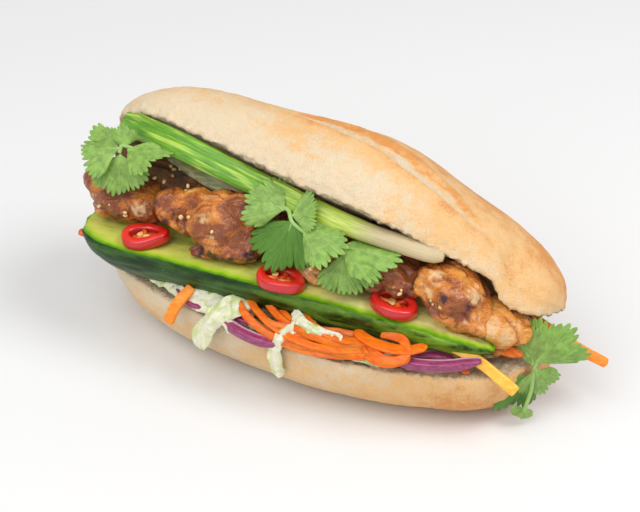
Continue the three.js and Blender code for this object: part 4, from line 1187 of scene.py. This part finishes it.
# Strands of the bundle: route, width, thickness, twist in degrees.
CARROT_STRANDS = [
    ([(-25, -28, 42), (-17, -38, 38.5), (-4, -44, 34.5), (14, -46.5, 33), (34, -43, 33.5)], 3.2, 2.4, 0),
    ([(-20, -27, 42), (-12, -37, 39.5), (2, -43.5, 36.5), (18, -46, 35.5), (40, -41, 35)], 3.0, 2.2, 25),
    ([(-14, -26, 43), (-6, -35, 40.5), (6, -41, 38.5), (22, -43.5, 37.5), (42, -38, 36.5)], 2.8, 2.0, -15),
    ([(-24, -32, 38), (-12, -41, 35.5), (4, -45.5, 33.8), (20, -45.5, 34.5), (44, -36, 35)], 2.6, 2.0, 10),
    ([(4, -30, 42), (12, -38, 40.5), (22, -42, 39), (30, -41, 38), (38, -35, 38)], 3.2, 1.8, 40),
    ([(12, -45, 34.8), (24, -45, 34), (36, -43.5, 34.5), (44, -40, 36.5)], 2.8, 2.2, -20),
    ([(-4, -33, 40), (10, -41, 38), (28, -43, 36), (40, -37, 37)], 2.6, 1.8, 15),
    ([(30, -36, 40), (40, -40, 39.5), (52, -40.5, 40), (60, -36, 41)], 4.6, 1.6, 35),
    ([(33, -39, 37), (40, -44, 35), (47, -45, 35), (55, -42, 38)], 3.0, 1.8, -10),
]


def carrot_look(name, deep, light):
    look = Look(name, Subsurface_Weight=0.35, Subsurface_Scale=0.004, Subsurface_Radius=(1.0, 0.35, 0.08),
                Specular_IOR_Level=0.3, Coat_Weight=0.12, Coat_Roughness=0.2)
    lines = look.grain(1.4, 3.0, 0.6, (0.3, 1, 1))
    fine = look.grain(0.8, 2.0)
    color = look.mix(lines.step(0.3, 0.7), deep, light)
    return look.done(color, 0.34 + fine * 0.15, look.bump(lines * 0.6 + fine * 0.4, 0.2, 0.6))


class BANHMI_OT_carrot(bpy.types.Operator):
    """Carrot: loose sticks, a curl, and a bundle of long shreds"""

    bl_idname = "banhmi.carrot"
    bl_label = "Carrot"

    def execute(self, context):
        settings = context.scene.banhmi_fillings
        orange = tuple(settings.orange)
        look = carrot_look("carrot", orange, (0.87, 0.20, 0.005))
        light = carrot_look("carrot, light", (0.93, 0.42, 0.035), (0.96, 0.56, 0.10))
        middling = carrot_look("carrot, middling", (0.90, 0.22, 0.012), (0.94, 0.34, 0.030))
        for number, (name, (route, width, thick)) in enumerate(CARROT_STICKS.items()):
            points, faces = strand(route, width, thick, rows=80, corners=24, roundness=6.0, seed=number,
                                   blunt=60)
            title = name.replace("carrot_", "carrot_shred_")
            material = {"carrot_stick_right": light, "carrot_loop": look}.get(name, middling)
            place(title, points, faces, material, "carrot", [name])
        parts = [strand(route, width, thick, rows=90, corners=20, roundness=5.0, seed=40 + k,
                        turn=math.radians(turn))
                 for k, (route, width, thick, turn) in enumerate(CARROT_STRANDS)]
        place("carrot_shreds", *gather(parts), look, "carrot", ["carrot_bundle"])
        return {"FINISHED"}


# ---------------------------------------------------------------- lettuce and red onion

# Hanging strips: route, width.
LETTUCE = {
    "lettuce_strip_left": (
        [(-14, -34, 40), (-21, -39, 39.5), (-27, -44, 36), (-32, -44.5, 27), (-36, -43.5, 19)], 9.0),
    "lettuce_strip_middle": (
        [(14, -36, 38.5), (6, -42, 38.5), (1, -47, 33), (1, -47.5, 24), (2, -46, 16)], 5.5),
}
ONION = {
    "onion_slice_left": [(-28, -36, 33.5), (-20, -43, 33), (-8, -46.5, 32.5), (2, -46, 32)],
    "onion_slice_right": [(46, -40, 34), (58, -40, 34.5), (70, -37, 35.5), (80, -31, 36.5)],
}


def ribbon(route, width, seed, rows=110, columns=30):
    """A thin leaf shred: a strip along a smooth route, curled across and crinkled, with an uneven edge."""
    path = curve(route, rows)
    _, side, face = frames(path)
    along = np.linspace(0, 1, rows)[:, None]
    across = np.linspace(-1, 1, columns)[None]
    ragged = 1 + summed(path, ((0.14, 6.0, seed), (0.14, 4.0, seed + 1)))[:, None]
    half = width / 2 * ragged * np.sqrt(np.clip(np.minimum(along, 1 - along) * 9 + 0.25, 0, 1))
    points = path[:, None] + side[:, None] * (half * across)[..., None]
    curl = 0.16 * width * across**2 + 0.06 * width * np.sin(9 * along + 3 * across + seed)
    curl += 0.07 * width * np.sin(24 * along + 5 * across + 2 * seed) * np.abs(across)
    crinkle = (0.45 * noise(points.reshape(-1, 3), 3.0, seed + 2)
               - 0.6 * creases(points.reshape(-1, 3), 4.0, seed + 3, 5)).reshape(rows, columns)
    points = points - face[:, None] * (curl + crinkle)[..., None]
    rib = np.exp(-((across / 0.22) ** 2)) * np.ones_like(along)
    return points.reshape(-1, 3), sheet_faces(rows, columns), rib.ravel()


def lettuce_look(settings):
    cream, green, rib_white = (0.80, 0.80, 0.58), (0.46, 0.60, 0.14), (0.88, 0.88, 0.74)
    look = Look("lettuce", Subsurface_Weight=0.4, Subsurface_Scale=0.003,
                Subsurface_Radius=(0.8, 1.0, 0.5), Coat_Weight=0.15, Coat_Roughness=0.25)
    rib = look.attribute("rib")
    streak = look.grain(2.4, 3.0, 0.6)
    color = look.mix(streak.step(0.3, 0.7), tuple(settings.lettuce), cream)
    color = look.mix(look.grain(6.0, 3.0).step(0.45, 0.65) * 0.75, color, green)
    color = look.mix(rib * 0.4, color, rib_white)
    return look.done(color, 0.42, look.bump(streak, 0.3, 0.6))


def onion_look(settings):
    light_purple, cut_pink = (0.36, 0.06, 0.17), (0.70, 0.44, 0.54)
    look = Look("red onion", Subsurface_Weight=0.35, Subsurface_Scale=0.003,
                Subsurface_Radius=(1.0, 0.6, 0.8), Coat_Weight=0.3, Coat_Roughness=0.15)
    skin_side = look.attribute("skin")
    lines = look.grain(1.0, 3.0, 0.6, (0.3, 1, 1))
    purple = look.mix(lines.step(0.3, 0.7), tuple(settings.purple), light_purple)
    color = look.mix((skin_side + (lines - 0.5) * 0.3).step(-0.75, -0.1), cut_pink, purple)
    return look.done(color, 0.30 + lines * 0.1, look.bump(lines, 0.15, 0.5))


def onion_slice(route, wide, tall, rows=80, corners=24):
    """A bent slice, tall at its middle and pointed at its ends; `skin` is 1 on its outer, front side."""
    path = curve(route, rows)
    along = np.linspace(0, 1, rows)
    ends = np.sqrt(np.clip(np.sin(np.pi * along) * 1.6 + 0.04, 0, 1))
    points, faces = swept(path, wide / 2 * (0.55 + 0.45 * ends), tall / 2 * ends, roundness=5.0,
                          corners=corners, up=(0, 0, 1))
    _, side, _ = frames(path, (0, 0, 1))
    _, round_ = along_and_round(rows, corners)
    outward = side[:, 1].mean()
    front = squared(np.cos(round_), 5.0) * (-np.sign(outward) if abs(outward) > 0.01 else 1)
    return points, faces, front


def lettuce_piece(name, routes, look, replaces=()):
    """One piece of several shreds, each with its route, width and seed."""
    points, faces, marks = gather_marked([ribbon(*shred) for shred in routes], "rib")
    thicken(place(name, points, faces, look, "lettuce", replaces, marks), 0.45)


class BANHMI_OT_lettuce(bpy.types.Operator):
    """Lettuce: two pale strips hanging over the bread, and more along the carrot"""

    bl_idname = "banhmi.lettuce"
    bl_label = "Lettuce"

    def execute(self, context):
        settings = context.scene.banhmi_fillings
        look = lettuce_look(settings)
        for number, (name, (route, width)) in enumerate(LETTUCE.items()):
            lettuce_piece(name.replace("strip", "shred"), [(route, width, number)], look, [name])
        top = [(4, -36, 42), (9, -40, 41.5), (17, -42.5, 40), (27, -42, 39.2)]
        low = [(-30, -37, 38), (-24, -42, 36), (-20, -44, 33.5), (-18, -44, 31)]
        inner = [(-52, -30, 36), (-42, -36, 35), (-32, -38, 35), (-22, -38, 36)]
        lettuce_piece("lettuce_shreds", [(top, 4.5, 7), (low, 4.5, 8), (inner, 5.0, 9)], look)
        return {"FINISHED"}


class BANHMI_OT_red_onion(bpy.types.Operator):
    """Red onion: two slices, purple outside and pale on their cut faces"""

    bl_idname = "banhmi.red_onion"
    bl_label = "Red onion"

    def execute(self, context):
        settings = context.scene.banhmi_fillings
        look = onion_look(settings)
        for name, route in ONION.items():
            points, faces, front = onion_slice(route, 4.2, 3.8)
            title = name.replace("slice", "crescent")
            place(title, points, faces, look, "red_onion", [name], {"skin": front})
        return {"FINISHED"}


# ---------------------------------------------------------------- salad bed and bits

def salad_core_surface(rows=160, corners=60):
    """A squared-off body along the roll with an uneven top and front; loose shreds cover it."""
    at = np.linspace(-84, 84, rows)
    y, rim, _, half = smooth(BASE, at / ROLL).T
    ends = np.sqrt(np.clip(1 - (at / 85) ** 4, 0.02, 1))
    angle = np.linspace(0, 2 * math.pi, corners, endpoint=False)[None]
    rings = np.stack([at[:, None] + 0 * angle,
                      (y - 3)[:, None] + (half - 12)[:, None] * squared(np.cos(angle), 2.5),
                      (rim + 3)[:, None] + (5.0 * ends)[:, None] * squared(np.sin(angle), 2.5)], axis=-1)
    points, faces = skin(rings)
    return points + 1.2 * layered(points, 6.0, 2, 3)[:, None] * np.array([0, -0.6, 0.8]), faces


def shaded_salad_core_look():
    # Painted shade: the core is a dark reddish brown, standing for the shade deep inside the roll.
    look = Look("salad core in painted shade", Subsurface_Weight=0.2, Subsurface_Scale=0.003)
    tone = look.grain(6.0, 4.0, 0.7)
    color = look.mix(tone.step(0.35, 0.6), (0.20, 0.045, 0.015), (0.45, 0.36, 0.16))
    return look.done(color, 0.5, look.bump(look.grain(2.0, 4.0, 0.7), 0.6, 0.8))


def rim_routes(rng, count, low, high, length):
    """Routes of shreds that lie along the front rim of the lower half, a little inside and above it."""
    for _ in range(count):
        start = rng.uniform(low, high)
        spot = np.linspace(start, start + rng.uniform(*length), 4)
        y, rim, _, half = smooth(BASE, spot / ROLL).T
        inward = rng.uniform(2.0, 9.0) + rng.normal(0, 1.2, 4)
        lift = rng.uniform(1.2, 7.5) + rng.normal(0, 1.0, 4)
        yield np.stack([spot, y - half + inward, rim + lift], axis=-1)


class BANHMI_OT_salad_bed(bpy.types.Operator):
    """Salad bed: an uneven core in painted shade, under loose shreds of lettuce, carrot and onion"""

    bl_idname = "banhmi.salad_bed"
    bl_label = "Salad bed"

    def execute(self, context):
        settings = context.scene.banhmi_fillings
        rng = np.random.default_rng(11)
        # The core stands for the shade inside the roll.
        place("salad_core_in_shade", *salad_core_surface(), shaded_salad_core_look(), "lettuce", ["salad_bed"])
        shreds = []
        for k, route in enumerate(rim_routes(rng, 12, -20, 62, (16, 30))):
            width, thick = rng.uniform(2.0, 3.2), rng.uniform(1.6, 2.4)
            shreds.append(strand(route, width, thick, rows=40, corners=14, seed=60 + k))
        left_end = [(-92, -16, 38), (-96, -17, 39.5), (-99, -17.5, 41), (-101.5, -17.5, 41.5)]
        right_end = [(74, -20, 36), (82, -20, 35.5), (89, -17, 33), (94, -12, 32)]
        shreds.append(strand(left_end, 3.0, 2.2, rows=30, corners=14))
        shreds.append(strand(right_end, 4.5, 2.5, rows=40, corners=14))
        # Painted shade: the shreds inside the roll get a darker copy of the carrot colour.
        deep = tuple(0.8 * value for value in settings.orange)
        carrot = carrot_look("carrot, shaded inside", deep, (0.85, 0.22, 0.025))
        place("salad_carrot", *gather(shreds), carrot, "carrot")
        leaves = [(route, rng.uniform(3.5, 7), 80 + k)
                  for k, route in enumerate(rim_routes(rng, 12, -82, 40, (14, 26)))]
        lettuce_piece("salad_lettuce", leaves, lettuce_look(settings))
        onion = [onion_slice(route, 4.5, 2.6) for route in rim_routes(rng, 5, -60, 60, (16, 24))]
        points, faces, marks = gather_marked(onion, "skin")
        place("salad_onion", points, faces, onion_look(settings), "red_onion", (), marks)
        return {"FINISHED"}


# Middles of the pairs of bits.
BITS = [
    (-62, -4, 74), (-57, -6, 75.5), (-66, -10, 70), (-52, -14, 73), (-45, -24, 66), (-30, -27, 66),
    (-38, -26, 60), (8, -28, 58), (47, -28, 59), (64, -30, 57), (58, -28, 58), (-86, -20, 58),
    (-76, -22, 60),
]


class BANHMI_OT_bits(bpy.types.Operator):
    """Bits of garlic and sesame stuck to the chicken"""

    bl_idname = "banhmi.bits"
    bl_label = "Bits"

    def execute(self, context):
        rng = np.random.default_rng(7)
        parts = []
        for at in BITS:
            for _ in range(2):
                spot = np.array(at, float) + rng.normal(0, 2.2, 3) * (1, 0.3, 0.8)
                size, turn = rng.uniform(0.5, 1.1, 3), tuple(rng.uniform(-90, 90, 3))
                parts.append(lump(spot, size, turn, rows=9, columns=12))
        look = Look("garlic and sesame", Subsurface_Weight=0.4, Subsurface_Scale=0.002, Coat_Weight=0.3,
                    Coat_Roughness=0.2)
        tone = look.grain(2.0, 2.0)
        look = look.done(look.mix(tone, (0.62, 0.36, 0.10), (0.84, 0.66, 0.38)), 0.4)
        place("bits", *gather(parts), look, "chicken")
        return {"FINISHED"}


# ---------------------------------------------------------------- stage

class StageSettings(bpy.types.PropertyGroup):
    azimuth: FloatProperty(
        name="Azimuth", description="Camera's turn to the right of the front, in degrees", default=22.158)
    elevation: FloatProperty(
        name="Elevation", description="Camera's height above level, in degrees", default=35.0)
    distance: FloatProperty(name="Distance", description="Camera to its target", default=0.7, unit="LENGTH")
    lens: FloatProperty(
        name="Lens", description="Focal length in millimetres on a 36 mm sensor", default=96.43)
    target: FloatVectorProperty(name="Target", description="What the camera looks at", subtype="TRANSLATION",
                                default=(0.00075, 0.0, 0.04437))
    floor: color_setting("Floor", "Colour of the table top", (0.78, 0.78, 0.78))
    key_power: FloatProperty(
        name="Key light", description="Power of the large light, in watts", default=9.0, unit="POWER")
    fill_power: FloatProperty(
        name="Fill light", description="Power of the front light, in watts", default=13.0, unit="POWER")
    sky: FloatProperty(name="Sky", description="Strength of the even light all round", default=0.50)


def area_light(name, at, aim, size, power):
    light = bpy.data.lights.new(name, "AREA")
    light.shape = "DISK"
    light.size = size
    light.energy = power
    lamp = bpy.data.objects.new(name, light)
    lamp.location = at
    lamp.rotation_euler = (Vector(aim) - Vector(at)).to_track_quat("-Z", "Y").to_euler()
    bpy.context.scene.collection.objects.link(lamp)


class BANHMI_OT_stage(bpy.types.Operator):
    """Pale table top, soft studio light and the camera"""

    bl_idname = "banhmi.stage"
    bl_label = "Stage"

    def execute(self, context):
        scene = context.scene
        settings = scene.banhmi_stage
        reach = 6.0
        corners = [(-reach, -reach, 0), (reach, -reach, 0), (reach, reach, 0), (-reach, reach, 0)]
        mesh = bpy.data.meshes.new("table_top")
        mesh.from_pydata(corners, [], [(0, 1, 2, 3)])
        look = Look("table top", Specular_IOR_Level=0.2)
        tone = look.grain(400.0, 2.0)
        near, far = tuple(settings.floor), tuple(0.985 * value for value in settings.floor)
        mesh.materials.append(look.done(look.mix(tone, near, far), 0.55))
        floor = bpy.data.objects.new("table_top", mesh)
        scene.collection.objects.link(floor)
        floor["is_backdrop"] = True

        azimuth, elevation = math.radians(settings.azimuth), math.radians(settings.elevation)
        level = math.cos(elevation)
        back = Vector((math.sin(azimuth) * level, -math.cos(azimuth) * level, math.sin(elevation)))
        data = bpy.data.cameras.new("camera")
        data.lens = settings.lens
        data.sensor_width = 36.0
        data.clip_start = 0.01
        camera = bpy.data.objects.new("camera", data)
        camera.location = Vector(settings.target) + back * settings.distance
        camera.rotation_euler = back.to_track_quat("Z", "Y").to_euler()
        scene.collection.objects.link(camera)
        scene.camera = camera

        area_light("key", (0.8, 0.1, 1.1), (0, 0, 0.03), 0.8, settings.key_power)
        area_light("fill", (-0.2, -0.8, 1.1), (0, 0, 0.05), 1.5, settings.fill_power)
        world = bpy.data.worlds.new("sky")
        scene.world = world
        world.use_nodes = True
        background = world.node_tree.nodes["Background"]
        background.inputs["Color"].default_value = (1.0, 1.0, 1.0, 1.0)
        background.inputs["Strength"].default_value = settings.sky
        scene.view_settings.view_transform = "Standard"
        return {"FINISHED"}


# ---------------------------------------------------------------- add-on

SETTINGS = {"banhmi_bread": BreadSettings, "banhmi_fillings": FillingSettings, "banhmi_stage": StageSettings}
OPERATORS = (
    BANHMI_OT_bread, BANHMI_OT_cucumber, BANHMI_OT_chicken, BANHMI_OT_spring_onion, BANHMI_OT_chilli,
    BANHMI_OT_coriander, BANHMI_OT_carrot, BANHMI_OT_lettuce, BANHMI_OT_red_onion, BANHMI_OT_salad_bed,
    BANHMI_OT_bits, BANHMI_OT_stage,
)


class BANHMI_PT_panel(bpy.types.Panel):
    """Buttons that build the sandwich, and its settings"""

    bl_idname = "BANHMI_PT_panel"
    bl_label = "Banh mi"
    bl_space_type = "VIEW_3D"
    bl_region_type = "UI"
    bl_category = "Banh mi"

    def draw(self, context):
        for operator in OPERATORS:
            self.layout.operator(operator.bl_idname)
        for name, group in SETTINGS.items():
            box = self.layout.box()
            for key in group.__annotations__:
                box.prop(getattr(context.scene, name), key)


CLASSES = (*SETTINGS.values(), *OPERATORS, BANHMI_PT_panel)


def register():
    for cls in CLASSES:
        bpy.utils.register_class(cls)
    for name, group in SETTINGS.items():
        setattr(bpy.types.Scene, name, PointerProperty(type=group))


def unregister():
    for name in SETTINGS:
        delattr(bpy.types.Scene, name)
    for cls in reversed(CLASSES):
        bpy.utils.unregister_class(cls)


def main():
    register()
    for operator in OPERATORS:
        group, name = operator.bl_idname.split(".")
        getattr(getattr(bpy.ops, group), name)()
    boxes = {"cad": CAD_BOX, "visual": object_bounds()}
    {name: [list(low), list(high)] for name, (low, high) in boxes.items()}


if __name__ == "__main__":
    main()
